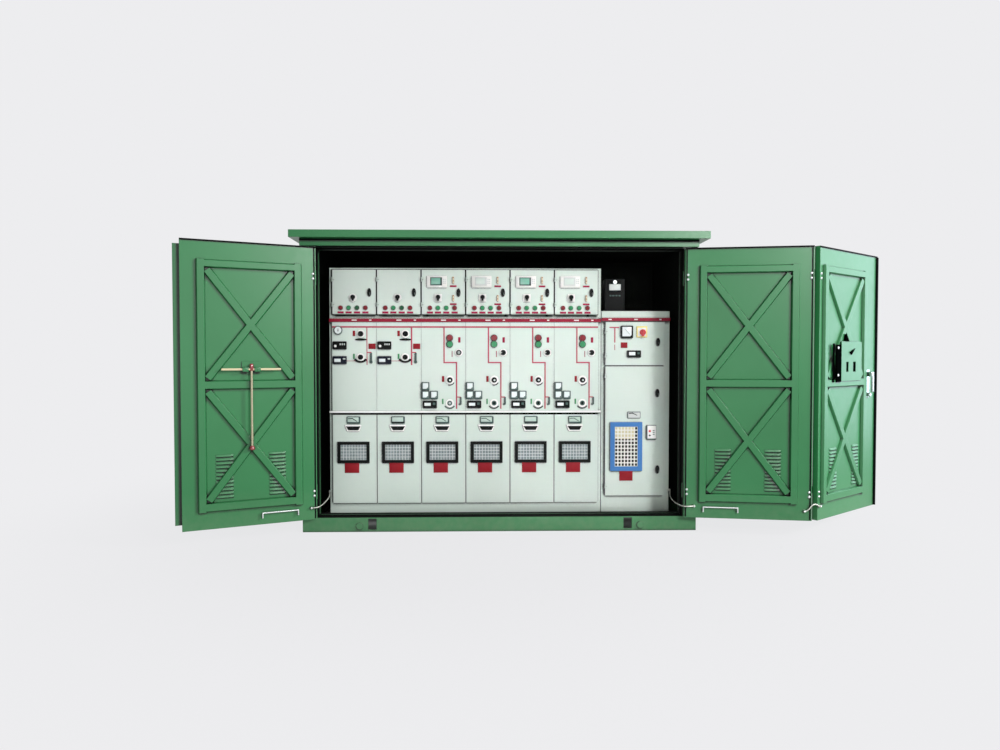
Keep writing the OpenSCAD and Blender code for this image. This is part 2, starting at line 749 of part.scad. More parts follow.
// lug and bolt head that hold a lead's end, on a leaf's inner face or a cabinet's side
module leaf_lug(u, z) bar_y(u, z, lug_d, hinge_out + leaf_t, hinge_out + leaf_t + lug_t);
module side_lug(x, s, y, z) translate([x, y, z]) rotate([0, s * 90, 0]) cylinder(d = lug_d, h = lug_t);

module bond_left() color(copper) {
    tube(lead_left, lead_d);
    side_lug(gear_l, -1, lead_left[11][1], lead_left[11][2]);
}

module bond_right() color(copper) {
    tube(lead_right, lead_d);
    side_lug(side_r, 1, lead_right[0][1], lead_right[0][2]);
    on_middle() leaf_lug(lug_u[1], lead_right[12][2]);
}

module bond_fold() color(copper) {
    tube(lead_fold, lead_d);
    on_middle() leaf_lug(lug_u[2], lead_fold[0][2]);
    on_right() leaf_lug(lug_u[3], lead_fold[8][2]);
}

base_rails();
base_bearers();
door_stop();
post_left();
post_right();
header();
wall_left();
wall_right();
wall_rear();
roof();
hinges_left();
leaf_left();
braces_left();
cover_strip();
stay_left();
lever_clip();
lever();
leaf_middle();
braces_middle();
stay_middle();
leaf_right();
braces_right();
lock_plate();
lock_rods();
lock_handle();
hinges_folding();
gear_body();
lv_box();
red_strips();
control_panels();
waist_trim();
switch_controls();
breaker_controls();
cable_doors();
cable_windows();
side_housing();
side_upper_door();
side_upper_controls();
side_lower_door();
side_window();
side_lower_fittings();
monitor_unit();
bond_left();
bond_right();
bond_fold();
lv_door_1();
lv_door_2();
lv_door_3();
lv_door_4();
lv_door_5();
lv_door_6();
lv_panel_1();
lv_panel_2();
lv_panel_3();
lv_panel_4();
lv_panel_5();
lv_panel_6();
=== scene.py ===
import json
import math

import bmesh
import bpy
from mathutils import Matrix, Vector


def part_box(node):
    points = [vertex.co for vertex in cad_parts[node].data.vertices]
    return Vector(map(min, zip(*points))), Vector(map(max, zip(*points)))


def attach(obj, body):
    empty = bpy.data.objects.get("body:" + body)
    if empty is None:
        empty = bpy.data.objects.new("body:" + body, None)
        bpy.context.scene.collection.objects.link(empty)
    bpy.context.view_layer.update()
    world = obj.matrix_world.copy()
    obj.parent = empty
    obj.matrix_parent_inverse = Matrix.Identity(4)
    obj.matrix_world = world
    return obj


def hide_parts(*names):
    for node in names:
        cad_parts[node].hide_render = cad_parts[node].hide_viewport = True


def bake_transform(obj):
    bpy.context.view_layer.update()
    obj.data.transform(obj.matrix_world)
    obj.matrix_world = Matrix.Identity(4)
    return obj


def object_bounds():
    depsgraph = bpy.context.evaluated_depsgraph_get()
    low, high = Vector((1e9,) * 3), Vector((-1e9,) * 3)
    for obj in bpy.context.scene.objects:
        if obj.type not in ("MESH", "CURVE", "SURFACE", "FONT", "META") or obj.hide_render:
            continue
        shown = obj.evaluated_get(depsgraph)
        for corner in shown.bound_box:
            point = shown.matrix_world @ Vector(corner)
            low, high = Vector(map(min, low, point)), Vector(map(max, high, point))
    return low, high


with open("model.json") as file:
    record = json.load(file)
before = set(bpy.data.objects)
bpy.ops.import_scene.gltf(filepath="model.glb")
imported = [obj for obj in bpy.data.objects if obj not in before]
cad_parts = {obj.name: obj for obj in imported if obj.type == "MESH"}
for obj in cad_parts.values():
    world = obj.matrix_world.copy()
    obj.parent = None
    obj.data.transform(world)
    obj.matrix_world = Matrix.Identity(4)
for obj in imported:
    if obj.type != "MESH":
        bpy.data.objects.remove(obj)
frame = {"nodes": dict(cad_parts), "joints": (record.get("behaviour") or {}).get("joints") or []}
cad_low, cad_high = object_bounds()

# ------------ camera and studio
# The kiosk is seen from the front at chest height with a 25 mm lens. A pale seamless
# floor and a pale world stand behind it. The key lamp stands front right and high, and
# two nearly parallel beams shine straight in at the switchgear and the side cabinet.


def new_object(name, data):
    """An object in the scene with its data."""
    made = bpy.data.objects.new(name, data)
    bpy.context.scene.collection.objects.link(made)
    return made


camera_data = bpy.data.cameras.new("studio_camera")
camera_data.lens = 25.25
camera_data.sensor_width = 36.0
camera = new_object("studio_camera", camera_data)
camera.location = (-0.1143, -5.477, 1.2211)
camera.rotation_euler = (math.radians(90 - 1.5), 0, math.radians(-1.3))
bpy.context.scene.camera = camera
bpy.context.scene.view_settings.view_transform = "Standard"


def linear(code):
    """An sRGB hex colour such as "#3f8f5f" as linear RGBA."""
    parts = [int(code[i:i + 2], 16) / 255 for i in (1, 3, 5)]
    return tuple(p / 12.92 if p <= 0.04045 else ((p + 0.055) / 1.055) ** 2.4 for p in parts) + (1.0,)


def add(tree, kind, *values, **named):
    """Adds a node. Values and Capitalised_Names fill its inputs, other names set it up.

    An input takes a value, an output or a node, for its first output.
    """
    node = tree.nodes.new(kind)
    wires = dict(enumerate(values))
    for name, value in named.items():
        if name[0].isupper():
            wires[name.replace("_", " ")] = value
        else:
            setattr(node, name, value)
    for name, value in wires.items():
        if isinstance(value, bpy.types.Node):
            value = value.outputs[0]
        if isinstance(value, bpy.types.NodeSocket):
            tree.links.new(value, node.inputs[name])
        else:
            node.inputs[name].default_value = value
    return node


def maths(tree, kind, *values, clamp=False):
    """A number worked out from numbers and other nodes' outputs."""
    return add(tree, "ShaderNodeMath", *values, operation=kind, use_clamp=clamp)


def spanned(tree, value, low, high, start=0.0, end=1.0, ease="LINEAR"):
    """A value's span from start to end, mapped onto low to high."""
    return add(tree, "ShaderNodeMapRange", interpolation_type=ease, Value=value, From_Min=start,
        From_Max=end, To_Min=low, To_Max=high)


def new_material(name):
    """An empty node material, its tree and the object's own coordinates in it."""
    material = bpy.data.materials.new(name)
    material.use_nodes = True
    tree = material.node_tree
    tree.nodes.clear()
    return material, tree, add(tree, "ShaderNodeTexCoord").outputs["Object"]


STUDIO_PALE = "#ededef"
AMBIENT = 0.24  # how much of the world's light falls on the object
FADE = (1.6, 4.2)  # distances over which the floor fades into the world
VEIL = 0.8  # share of the floor's own glow near the object
LIFT = 1.13  # that glow's strength there
UNDER = (1.37, 0.595)  # half the size of the dark area under the kiosk
world = bpy.data.worlds.new("studio")
world.use_nodes = True
bpy.context.scene.world = world
sky = world.node_tree
sky.nodes.clear()
rays = add(sky, "ShaderNodeLightPath").outputs
seen = maths(sky, "MAXIMUM", rays["Is Camera Ray"], rays["Is Glossy Ray"])
seen = maths(sky, "MAXIMUM", seen, rays["Is Transmission Ray"])
glow = add(sky, "ShaderNodeBackground", Color=linear(STUDIO_PALE),
    Strength=spanned(sky, seen, AMBIENT, 1.0))
add(sky, "ShaderNodeOutputWorld", Surface=glow)

floor_paper, tree, place = new_material("matt_studio_paper")
rays = add(tree, "ShaderNodeLightPath").outputs
seen = maths(tree, "MAXIMUM", rays["Is Camera Ray"], rays["Is Glossy Ray"])
reach = add(tree, "ShaderNodeVectorMath", place, operation="LENGTH").outputs["Value"]
near = spanned(tree, reach, 0.0, 1.0, *FADE, "SMOOTHSTEP")
spot = add(tree, "ShaderNodeSeparateXYZ", Vector=place).outputs
side = maths(tree, "LESS_THAN", maths(tree, "ABSOLUTE", spot["X"]), UNDER[0])
dark = maths(tree, "MULTIPLY", side, maths(tree, "COMPARE", spot["Y"], 0.0, UNDER[1]))
open_floor = maths(tree, "SUBTRACT", spanned(tree, near, VEIL, 1.0), dark)
share = maths(tree, "MULTIPLY", seen, open_floor, clamp=True)
paper = add(tree, "ShaderNodeBsdfDiffuse", Color=linear("#939393"))
glow = add(tree, "ShaderNodeEmission", Color=linear(STUDIO_PALE), Strength=spanned(tree, near, LIFT, 1.0))
mixed = add(tree, "ShaderNodeMixShader", share, paper, glow)
add(tree, "ShaderNodeOutputMaterial", Surface=mixed)
floor_mesh = bpy.data.meshes.new("studio_floor")
floor_mesh.from_pydata([(-60, -30, 0), (60, -30, 0), (60, 120, 0), (-60, 120, 0)], [], [(0, 1, 2, 3)])
floor_mesh.materials.append(floor_paper)
floor = new_object("studio_floor", floor_mesh)

# Name, place, target, width, height, spread in degrees, power in watts and colour.
middle = ((cad_low.x + cad_high.x) / 2, 0.0, 1.0)
for name, place, target, width, height, spread, power, colour in (
        ("key_lamp", (4.2, -7.0, 3.6), middle, 1.3, 1.3, 180, 340.0, "#ffffff"),
        ("raking_lamp", (12.9, -3.4, 6.2), middle, 1.6, 1.6, 180, 1300.0, "#ffffff"),
        ("gear_lamp", (0.0, -7.6, 1.03), (0.0, -0.33, 1.03), 2.34, 1.85, 3, 2.0, "#ffffff"),
        ("side_lamp", (0.68, -7.6, 1.03), (0.68, -0.33, 1.03), 1.1, 1.85, 3, 1.6, "#ffffff"),
        ("front_lamp", (-1.0, -8.5, 1.4), middle, 4.0, 2.4, 180, 95.0, "#ffffff"),
        ("right_lamp", (7.6, 1.1, 2.45), (2.5, -0.5, 1.35), 3.0, 5.0, 180, 195.0, "#dcebff"),
        ("left_lamp", (-6.5, 2.5, 3.0), middle, 3.0, 3.0, 180, 60.0, "#ffffff"),
        ("rear_lamp", (1.0, 7.0, 4.0), middle, 4.0, 3.0, 180, 120.0, "#ffffff")):
    light = bpy.data.lights.new(name, "AREA")
    light.shape = "RECTANGLE"
    light.size = width
    light.size_y = height
    light.spread = math.radians(spread)
    light.energy = power
    light.color = linear(colour)[:3]
    lamp = new_object(name, light)
    lamp.location = place
    lamp.rotation_euler = (Vector(target) - Vector(place)).to_track_quat("-Z", "Y").to_euler()

# ------------ green kiosk paint
# Polyester powder, sprayed on the folded steel and baked: a semi-gloss green with a
# fine orange peel, a little uneven in tone, dusty near the ground. Painted shade darkens
# the folds, thickest on the lower left of each, where the light from the upper right leaves shadow.
PEEL = 0.004  # spacing of the orange peel, drawn twice as coarse as the real one
DUST_TOP = 0.35  # height where the dust ends
SHADE_REACH = 0.03  # how near a fold the painted shade starts
SHADE_LEAN = (0.55, 0.0, 0.4)  # the way the painted shade's occlusion is leaned: to the upper right, so it falls on the lower left of folds
FOLD_RADIUS = 0.004  # the soft edge of a folded sheet


def noise(tree, place, scale, detail=2.0):
    """Cloudy noise with so many clouds to the metre."""
    return add(tree, "ShaderNodeTexNoise", Vector=place, Scale=scale, Detail=detail)


def two_tone(tree, share, one, two, blend="MIX"):
    """A blend of two colours, each a hex code or another node's output."""
    one, two = (linear(colour) if isinstance(colour, str) else colour for colour in (one, two))
    return add(tree, "ShaderNodeMix", data_type="RGBA", blend_type=blend, Factor=share, A=one,
        B=two).outputs["Result"]


def bump(tree, height, strength, distance, **normal):
    """A bumpy skin drawn from a height."""
    return add(tree, "ShaderNodeBump", Height=height, Strength=strength, Distance=distance, **normal)


def surface(tree, **looks):
    """Ends a material in a surface; looks are its inputs, with _ for each space."""
    coat = add(tree, "ShaderNodeBsdfPrincipled", **looks)
    add(tree, "ShaderNodeOutputMaterial", Surface=coat)


def baked_powder(name, tone, deep_tone, rough, dust=0.25, peel=0.22):
    """Powder coat with clouded tone, orange peel, dust low down and painted shade in folds."""
    material, tree, place = new_material(name)
    tint = two_tone(tree, noise(tree, place, 1.7, 4.0), deep_tone, tone)
    height = add(tree, "ShaderNodeSeparateXYZ", Vector=place).outputs["Z"]
    speck = noise(tree, place, 23.0, 6.0)
    dusty = maths(tree, "MULTIPLY", spanned(tree, height, dust, 0.0, 0.0, DUST_TOP), speck)
    dusted = two_tone(tree, dusty, tint, "#a7a796")
    facing = add(tree, "ShaderNodeNewGeometry").outputs["Normal"]
    leaning = add(tree, "ShaderNodeVectorMath", facing, SHADE_LEAN, operation="ADD")
    leaning = add(tree, "ShaderNodeVectorMath", leaning, operation="NORMALIZE")
    # Painted shade: occlusion gathered round a normal leaned to the upper right, darkest on the lower left
    # of folds and in gaps.
    shade_occlusion = add(tree, "ShaderNodeAmbientOcclusion", samples=8, Distance=SHADE_REACH,
        Normal=leaning).outputs["AO"]
    painted_fold_shade = spanned(tree, shade_occlusion, 0.02, 1.0, 0.6, 0.82)
    fold = add(tree, "ShaderNodeBevel", samples=4, Radius=FOLD_RADIUS)
    surface(tree, Base_Color=two_tone(tree, 1.0, dusted, painted_fold_shade, "MULTIPLY"),
        Roughness=spanned(tree, speck, rough - 0.06, rough + 0.08), Normal=bump(tree,
        noise(tree, place, 1 / PEEL, 1.0), peel, 0.0004, Normal=fold))
    return material


green_powder = baked_powder("green_polyester_powder_coat", "#328650", "#27713f", 0.36)


def paint(material, *nodes):
    """Gives CAD nodes a finish in their own material slots."""
    for node in nodes:
        for place in frame["nodes"][node].material_slots:
            place.material = material


# ------------ kiosk leaves and fixings
# Folded and welded steel leaves with their frames of bars, hinges, cover strip, lever
# clip and lock plate, all in the green powder coat.
paint(green_powder, "hinges_left", "hinges_folding", "leaf_left", "leaf_middle", "leaf_right",
    "braces_left", "braces_middle", "braces_right", "cover_strip", "lever_clip", "lock_plate")

# ------------ kiosk frame and shell
# Base, posts, header, walls and pitched lid of folded and welded steel, green outside.
# Inside they are painted near-black, matt and knobbly: painted shade for the unlit
# interior, so that nothing behind the switchgear shows.
SHADE_OVER = 0.004  # how far the painted shade laps onto each wall's sheet
SHADE_FRONT = -0.5985
green_powder_shaded_inside = green_powder.copy()
green_powder_shaded_inside.name = "green_powder_coat_painted_dark_inside"
tree = green_powder_shaded_inside.node_tree
coat = tree.nodes["Principled BSDF"]
out = tree.nodes["Material Output"]
place = add(tree, "ShaderNodeTexCoord").outputs["Object"]
spot = add(tree, "ShaderNodeSeparateXYZ", Vector=place).outputs
shade_mask = 1.0
for axis, side, limit in (("X", "GREATER_THAN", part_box("wall_left")[1].x - SHADE_OVER),
        ("X", "LESS_THAN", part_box("wall_right")[0].x + SHADE_OVER),
        ("Y", "LESS_THAN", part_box("wall_rear")[0].y + SHADE_OVER), ("Z", "LESS_THAN",
        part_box("roof")[0].z + 0.001), ("Y", "GREATER_THAN", SHADE_FRONT)):
    shade_mask = maths(tree, "MULTIPLY", shade_mask, maths(tree, side, spot[axis], limit))
# The rear lips of the posts and the header stay green.
on_lip = maths(tree, "COMPARE", spot["Y"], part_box("header")[1].y - 0.0015, 0.0028)
between = maths(tree, "LESS_THAN", maths(tree, "ABSOLUTE", spot["X"]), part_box("post_right")[0].x + 0.0075)
shade_mask = maths(tree, "SUBTRACT", shade_mask, maths(tree, "MULTIPLY", on_lip, between), clamp=True)
# Painted shade inside the shell: a knobbly near-black matt coat.
knobs = noise(tree, place, 180.0, 3.0)
shade_coat = add(tree, "ShaderNodeBsdfPrincipled", Base_Color=two_tone(tree, knobs, "#080908", "#161a17"),
    Roughness=0.9, Specular_IOR_Level=0.1, Normal=bump(tree, knobs, 0.6, 0.002))
mixed = add(tree, "ShaderNodeMixShader", shade_mask, coat, shade_coat)
tree.links.new(mixed.outputs[0], out.inputs["Surface"])
paint(green_powder_shaded_inside, "wall_left", "wall_right", "wall_rear", "roof", "post_left", "post_right", "header",
    "base_rails", "base_bearers", "door_stop")

# ------------ door louvres
# Ventilation louvres pressed out of the leaf's sheet, two blocks of twelve low down
# on each leaf, on both faces. Each is a hood that is open along its lower edge, with a
# thin near-black strip under it as painted shade for the slot.
HINGE = Vector(frame["joints"][0]["pos_m"])
LEFT_OPEN = -frame["joints"][0]["range_deg"][0]
MIDDLE_OPEN = 171
FOLD = 46
FOLD_AXIS = 0.852
LEAF_OUTER, LEAF_INNER = 0.010, 0.048
LEAF_WIDE = 0.846
HOOD_HEIGHT = 0.015
LOUVRE_US = {"left": (0.259, 0.589), "middle": (0.259, 0.589), "right": (0.204, 0.532)}
LOUVRE_LOW = 0.311
LOUVRE_PITCH = 0.0243


def hung(x, y, degrees):
    """Where a leaf's own frame is when it is turned about an upright line."""
    return Matrix.Translation((x, y, 0)) @ Matrix.Rotation(math.radians(degrees), 4, "Z")


LEAF = {"left": hung(HINGE.x, HINGE.y, -LEFT_OPEN), "middle": hung(-HINGE.x, HINGE.y, MIDDLE_OPEN)
    @ Matrix.Scale(-1, 4, (1, 0, 0))}
LEAF["right"] = LEAF["middle"] @ hung(FOLD_AXIS, 0, -FOLD)
LEAF_EDGE = {"left": 0.002, "middle": 0.002, "right": 0.004}
LEAF_BODY = {"left": "left_leaf", "middle": "root", "right": "root"}


def new_tree(name, sizes):
    """A Geometry Nodes tree with named inputs for its sizes, and its input node."""
    tree = bpy.data.node_groups.new(name, "GeometryNodeTree")
    tree.interface.new_socket("Geometry", in_out="INPUT", socket_type="NodeSocketGeometry")
    tree.interface.new_socket("Geometry", in_out="OUTPUT", socket_type="NodeSocketGeometry")
    kinds = {int: "NodeSocketInt", float: "NodeSocketFloat", str: "NodeSocketMaterial"}
    for title, value in sizes.items():
        socket = tree.interface.new_socket(title, in_out="INPUT", socket_type=kinds[type(value)])
        if type(value) is not str:
            socket.default_value = value
    return tree, add(tree, "NodeGroupInput").outputs


def joined(tree, *parts):
    """Several geometries as one."""
    both = add(tree, "GeometryNodeJoinGeometry")
    for part in parts:
        tree.links.new(part.outputs[0], both.inputs[0])
    return both


def set_out(tree, points, shape, finish, turn=(0, 0, 0)):
    """A shape set on each point, made real and given its finish."""
    row = add(tree, "GeometryNodeInstanceOnPoints", Points=points, Instance=shape, Rotation=turn)
    row = add(tree, "GeometryNodeRealizeInstances", Geometry=row)
    return add(tree, "GeometryNodeSetMaterial", Geometry=row, Material=finish)


def grow(name, tree, points, sizes):
    """Runs a tree on loose points and returns the result as a plain mesh."""
    start = bpy.data.meshes.new(name)
    start.from_pydata([tuple(p) for p in points], [], [])
    seed = new_object(name, start)
    grower = seed.modifiers.new("grow", "NODES")
    grower.node_group = tree
    for item in tree.interface.items_tree:
        if item.in_out == "INPUT" and item.name in sizes:
            grower[item.identifier] = sizes[item.name]
    graph = bpy.context.evaluated_depsgraph_get()
    mesh = bpy.data.meshes.new_from_object(seed.evaluated_get(graph))
    seed.modifiers.clear()
    bpy.data.objects.remove(seed)
    return mesh


def settle(mesh, name, body, place=None, smooth=35):
    """Makes a finished mesh a piece that rides on its body."""
    if place is not None:
        mesh.transform(place)
        if place.determinant() < 0:
            mesh.flip_normals()
    mesh.polygons.foreach_set("use_smooth", [True] * len(mesh.polygons))
    mesh.set_sharp_from_angle(angle=math.radians(smooth))
    mesh.update()
    piece = new_object(name, mesh)
    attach(piece, body)
    return piece


louvre, given = new_tree("pressed_louvres", {"Hood Width": 0.11, "Hood Height": HOOD_HEIGHT,
    "Hood Depth": 0.0045, "Sheet": 0.0012, "Turn": 0.0, "Paint": "", "Shade Finish": ""})
hood = add(louvre, "GeometryNodeMeshGrid", Size_X=given["Hood Width"], Size_Y=given["Hood Height"],
    Vertices_X=13, Vertices_Y=6)
spot = add(louvre, "GeometryNodeInputPosition")
spot = add(louvre, "ShaderNodeSeparateXYZ", spot).outputs
across = maths(louvre, "DIVIDE", spot["X"], given["Hood Width"])
across = maths(louvre, "ABSOLUTE", maths(louvre, "MULTIPLY", across, 2.0))
across = maths(louvre, "SUBTRACT", 1.0, maths(louvre, "POWER", across, 8.0))
down = maths(louvre, "SUBTRACT", 0.5, maths(louvre, "DIVIDE", spot["Y"], given["Hood Height"]))
swell = maths(louvre, "MULTIPLY", across, maths(louvre, "POWER", down, 0.7))
swell = maths(louvre, "MULTIPLY", swell, given["Hood Depth"])
raised = add(louvre, "ShaderNodeCombineXYZ", Z=swell)
hood = add(louvre, "GeometryNodeSetPosition", Geometry=hood, Offset=raised)
upper = add(louvre, "GeometryNodeExtrudeMesh", Mesh=hood, Individual=False, Offset_Scale=given["Sheet"])
under = add(louvre, "GeometryNodeFlipFaces", Mesh=hood)
hood = add(louvre, "GeometryNodeMergeByDistance", Geometry=joined(louvre, upper, under), Distance=0.00001)
# The thin near-black strip under each hood is painted shade for the slot.
slot_size = add(louvre, "ShaderNodeCombineXYZ", X=0.104, Y=0.009, Z=0.0008)
slot = add(louvre, "GeometryNodeMeshCube", Size=slot_size)
slot = add(louvre, "GeometryNodeTransform", Geometry=slot, Translation=(0, -HOOD_HEIGHT / 2 - 0.0015, 0))
slot = add(louvre, "GeometryNodeStoreNamedAttribute", data_type="BOOLEAN", domain="FACE", Geometry=slot,
    Name="slot", Value=True)
upright = add(louvre, "GeometryNodeTransform", Geometry=joined(louvre, hood, slot),
    Rotation=(math.radians(90), 0, 0))
turn = add(louvre, "ShaderNodeCombineXYZ", Z=given["Turn"])
row = set_out(louvre, given["Geometry"], upright, given["Paint"], turn)
is_slot = add(louvre, "GeometryNodeInputNamedAttribute", data_type="BOOLEAN", Name="slot")
row = add(louvre, "GeometryNodeSetMaterial", Geometry=row, Selection=is_slot.outputs["Attribute"],
    Material=given["Shade Finish"])
add(louvre, "NodeGroupOutput", row)

# Near-black with a faint green mottle: painted shade for slots and unlit spaces.
near_black_shade, tree, place = new_material("near_black_painted_slot_shade")
surface(tree, Base_Color=two_tone(tree, noise(tree, place, 60.0, 3.0), "#060a08", "#10201a"),
    Roughness=0.8)
for leaf, matrix in LEAF.items():
    for side, face, turned_by in (("inner", LEAF_INNER, math.pi), ("outer", LEAF_OUTER, 0.0)):
        spots = [(LEAF_EDGE[leaf] + u, face, LOUVRE_LOW + k * LOUVRE_PITCH) for u in LOUVRE_US[leaf]
            for k in range(12)]
        mesh = grow("louvres", louvre, spots, {"Turn": turned_by, "Paint": green_powder,
            "Shade Finish": near_black_shade})
        settle(mesh, f"{leaf}_leaf_louvres_{side}", LEAF_BODY[leaf], matrix)

# ------------ hinge bolts
# Zinc-plated domed bolt heads, two beside each leaf hinge. Bright zinc gives a pale,
# slightly blue spot.
zinc, tree, place = new_material("zinc_plated_steel")
spangle = add(tree, "ShaderNodeTexVoronoi", Vector=place, Scale=500.0).outputs["Distance"]
surface(tree, Base_Color=two_tone(tree, spangle, "#f4f6f5", "#c9cfd0"), Metallic=0.6, Roughness=0.35)

heads, given = new_tree("domed_heads", {"Head Diameter": 0.016, "Head Height": 0.005, "Finish": ""})
ball = add(heads, "GeometryNodeMeshUVSphere", Segments=12, Rings=8, Radius=0.5)
shape = add(heads, "ShaderNodeCombineXYZ", X=given["Head Diameter"], Y=given["Head Height"],
    Z=given["Head Diameter"])
shape = add(heads, "ShaderNodeVectorMath", shape, (1, 2, 1), operation="MULTIPLY")
ball = add(heads, "GeometryNodeTransform", Geometry=ball, Scale=shape)
add(heads, "NodeGroupOutput", set_out(heads, given["Geometry"], ball, given["Finish"]))

BOLT_ZS = (0.268, 0.300, 1.752, 1.784)
BOLT_US = {"left": (0.018,), "middle": (0.018, 0.828), "right": (0.018,)}
for leaf, matrix in LEAF.items():
    spots = [(LEAF_EDGE[leaf] + u, LEAF_INNER, z) for u in BOLT_US[leaf] for z in BOLT_ZS]
    mesh = grow("bolts", heads, spots, {"Head Diameter": 0.017, "Head Height": 0.006, "Finish": zinc})
    settle(mesh, f"{leaf}_leaf_hinge_bolts", LEAF_BODY[leaf], matrix)

# ------------ stay rods
# A zinc-plated rod hooked over two studs at the foot of the left and middle leaf.
paint(zinc, "stay_left", "stay_middle")

# ------------ operating lever
# The T-shaped crank that works the switches: a cream enamelled cross bar, a bronze
# coloured steel stem, a dark red socket on top and a red cap at the foot. Two green
# straps of the clip hold the cross bar against the leaf.


def put(target, piece, finish):
    """Adds one closed shape to a piece, in one of the piece's finishes."""
    for face in piece.faces:
        face.material_index = finish
    carrier = bpy.data.meshes.new("carrier")
    piece.to_mesh(carrier)
    piece.free()
    target.from_mesh(carrier)
    bpy.data.meshes.remove(carrier)


def slab(target, low, high, round_by=0.001, finish=0):
    """A block with rounded edges between two corners."""
    low, high = Vector(low), Vector(high)
    piece = bmesh.new()
    bmesh.ops.create_cube(piece, size=1.0, matrix=Matrix.Translation((low + high) / 2)
        @ Matrix.Diagonal((*(high - low), 1.0)))
    if round_by:
        bmesh.ops.bevel(piece, geom=piece.edges[:], offset=round_by, segments=2, profile=0.5,
            affect="EDGES")
    put(target, piece, finish)


def stitch(piece, rings):
    """Faces between each ring of points and the next; a ring may be a single point."""
    for one, two in zip(rings, rings[1:]):
        for k in range(max(len(one), len(two))):
            corners = [one[k % len(one)], one[(k + 1) % len(one)], two[(k + 1) % len(two)],
                two[k % len(two)]]
            piece.faces.new(list(dict.fromkeys(corners)))


def turned(target, centre, outline, finish=0, steps=28, axis=(0, -1, 0)):
    """A round shape: (radius, height) pairs turned about a line out of the face."""
    piece = bmesh.new()
    turn = Vector((0, 0, 1)).rotation_difference(Vector(axis)).to_matrix()
    angles = [2 * math.pi * k / steps for k in range(steps)]
    rings = [[piece.verts.new(Vector(centre) + turn @ Vector((radius * math.cos(a), radius * math.sin(a),
        height))) for a in (angles if radius > 0 else angles[:1])] for radius, height in outline]
    is_tube = outline[0][0] > outline[-1][0] > 0
    stitch(piece, rings + rings[:1] if is_tube else rings)
    for ring in () if is_tube else (rings[0], rings[-1]):
        if len(ring) > 1:
            piece.faces.new(ring)
    put(target, piece, finish)


def finish_piece(target, name, body, finishes, place=None):
    """Closes a built piece: outward faces, materials and body."""
    bmesh.ops.recalc_face_normals(target, faces=target.faces[:])
    mesh = bpy.data.meshes.new(name)
    target.to_mesh(mesh)
    target.free()
    for material in finishes:
        mesh.materials.append(material)
    return settle(mesh, name, body, place)


def moulded(name, tone, rough, grain_mm=1.2, skin=0.15, wear="#ffffff", worn=0.04, metal=0.0, coat=0.0,
        shine=0.5):
    """A plain moulded, enamelled or plated finish with fine grain and faint wear."""
    material, tree, place = new_material(name)
    patch = noise(tree, place, 35.0, 4.0)
    surface(tree, Base_Color=two_tone(tree, maths(tree, "MULTIPLY", patch, worn), tone, wear),
        Roughness=spanned(tree, patch, rough - 0.05, rough + 0.05), Metallic=metal, Coat_Weight=coat,
        Specular_IOR_Level=shine, Normal=bump(tree, noise(tree, place, 1000 / grain_mm), skin, 0.0003))
    return material


cream_enamel = moulded("cream_stoved_enamel", "#eadbb4", 0.35)
bronze_steel = moulded("pale_bronze_lacquered_steel", "#b3ab8d", 0.4, metal=0.1)
red_enamel = moulded("dark_red_stoved_enamel", "#8e1424", 0.35, coat=0.3)

LEVER_U = 0.425
LEVER_Y = 0.082
LEVER_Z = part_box("lever")[1].z - 0.038
HALF_BAR = 0.185
lever = bmesh.new()
turned(lever, (LEVER_U - HALF_BAR, LEVER_Y, LEVER_Z), [(0, 0), (0.006, 0), (0.0078, 0.002),
    (0.0078, 2 * HALF_BAR - 0.002), (0.006, 2 * HALF_BAR), (0, 2 * HALF_BAR)], 0, axis=(1, 0, 0))
for drop, outline, finish in ((0.52, [(0, 0), (0.0072, 0), (0.0072, 0.514), (0, 0.514)], 1),
        (0.009, [(0, 0), (0.010, 0), (0.0118, 0.003), (0.0118, 0.042), (0.009, 0.046), (0, 0.046)], 2),
        (0.53, [(0, 0), (0.010, 0.0005), (0.0165, 0.006), (0.0165, 0.016), (0.010, 0.029), (0, 0.030)],
        2)):
    turned(lever, (LEVER_U, LEVER_Y, LEVER_Z - drop), outline, finish, axis=(0, 0, 1))
piece = finish_piece(lever, "operating_lever", "left_leaf",
    [cream_enamel, bronze_steel, red_enamel], LEAF["left"])
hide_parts("lever")

straps = bmesh.new()
for u in (LEVER_U - 0.038, LEVER_U + 0.038):
    for y1, y2, top, round_by in ((0.0086, 0.0125, 0.013, 0.0015), (-0.034, 0.0100, -0.0092, 0.0012)):
        slab(straps, (u - 0.019, LEVER_Y + y1, LEVER_Z - 0.016), (u + 0.019, LEVER_Y + y2, LEVER_Z + top),
            round_by)
finish_piece(straps, "lever_clip_straps", "left_leaf", [green_powder], LEAF["left"])

# ------------ folding-door lock
# Espagnolette lock of the folding pair: a plate with two cam slots, two black painted
# rods behind it and a chromed handle near the leaf's free edge.
# Black lacquer for the lock rods; it also paints shade at the lock.
lacquer_and_shade_black = moulded("black_lacquered_steel_and_painted_shade", "#020303", 0.9, wear="#1c2020", worn=0.1, shine=0.0)
chrome = moulded("bright_chrome_plate", "#aebbb9", 0.25, skin=0.05, metal=1.0, worn=0.1)
paint(lacquer_and_shade_black, "lock_rods")


def prism(target, outline, front, rear, finish=0):
    """A plate of any outline, given as x and z, between two depths."""
    piece = bmesh.new()
    loops = [[piece.verts.new((x, y, z)) for x, z in outline] for y in (front, rear)]
    for loop in loops:
        piece.faces.new(loop)
    stitch(piece, loops)
    put(target, piece, finish)


LOCK_TOP = LEAF_INNER + 0.018
lock = bmesh.new()
for z in (1.092, 1.282):
    turned(lock, (0.217, LOCK_TOP + 0.007, z), [(0.009, 0), (0.009, 0.003), (0.005, 0.006), (0, 0.006)],
        1, 16, (0, 1, 0))
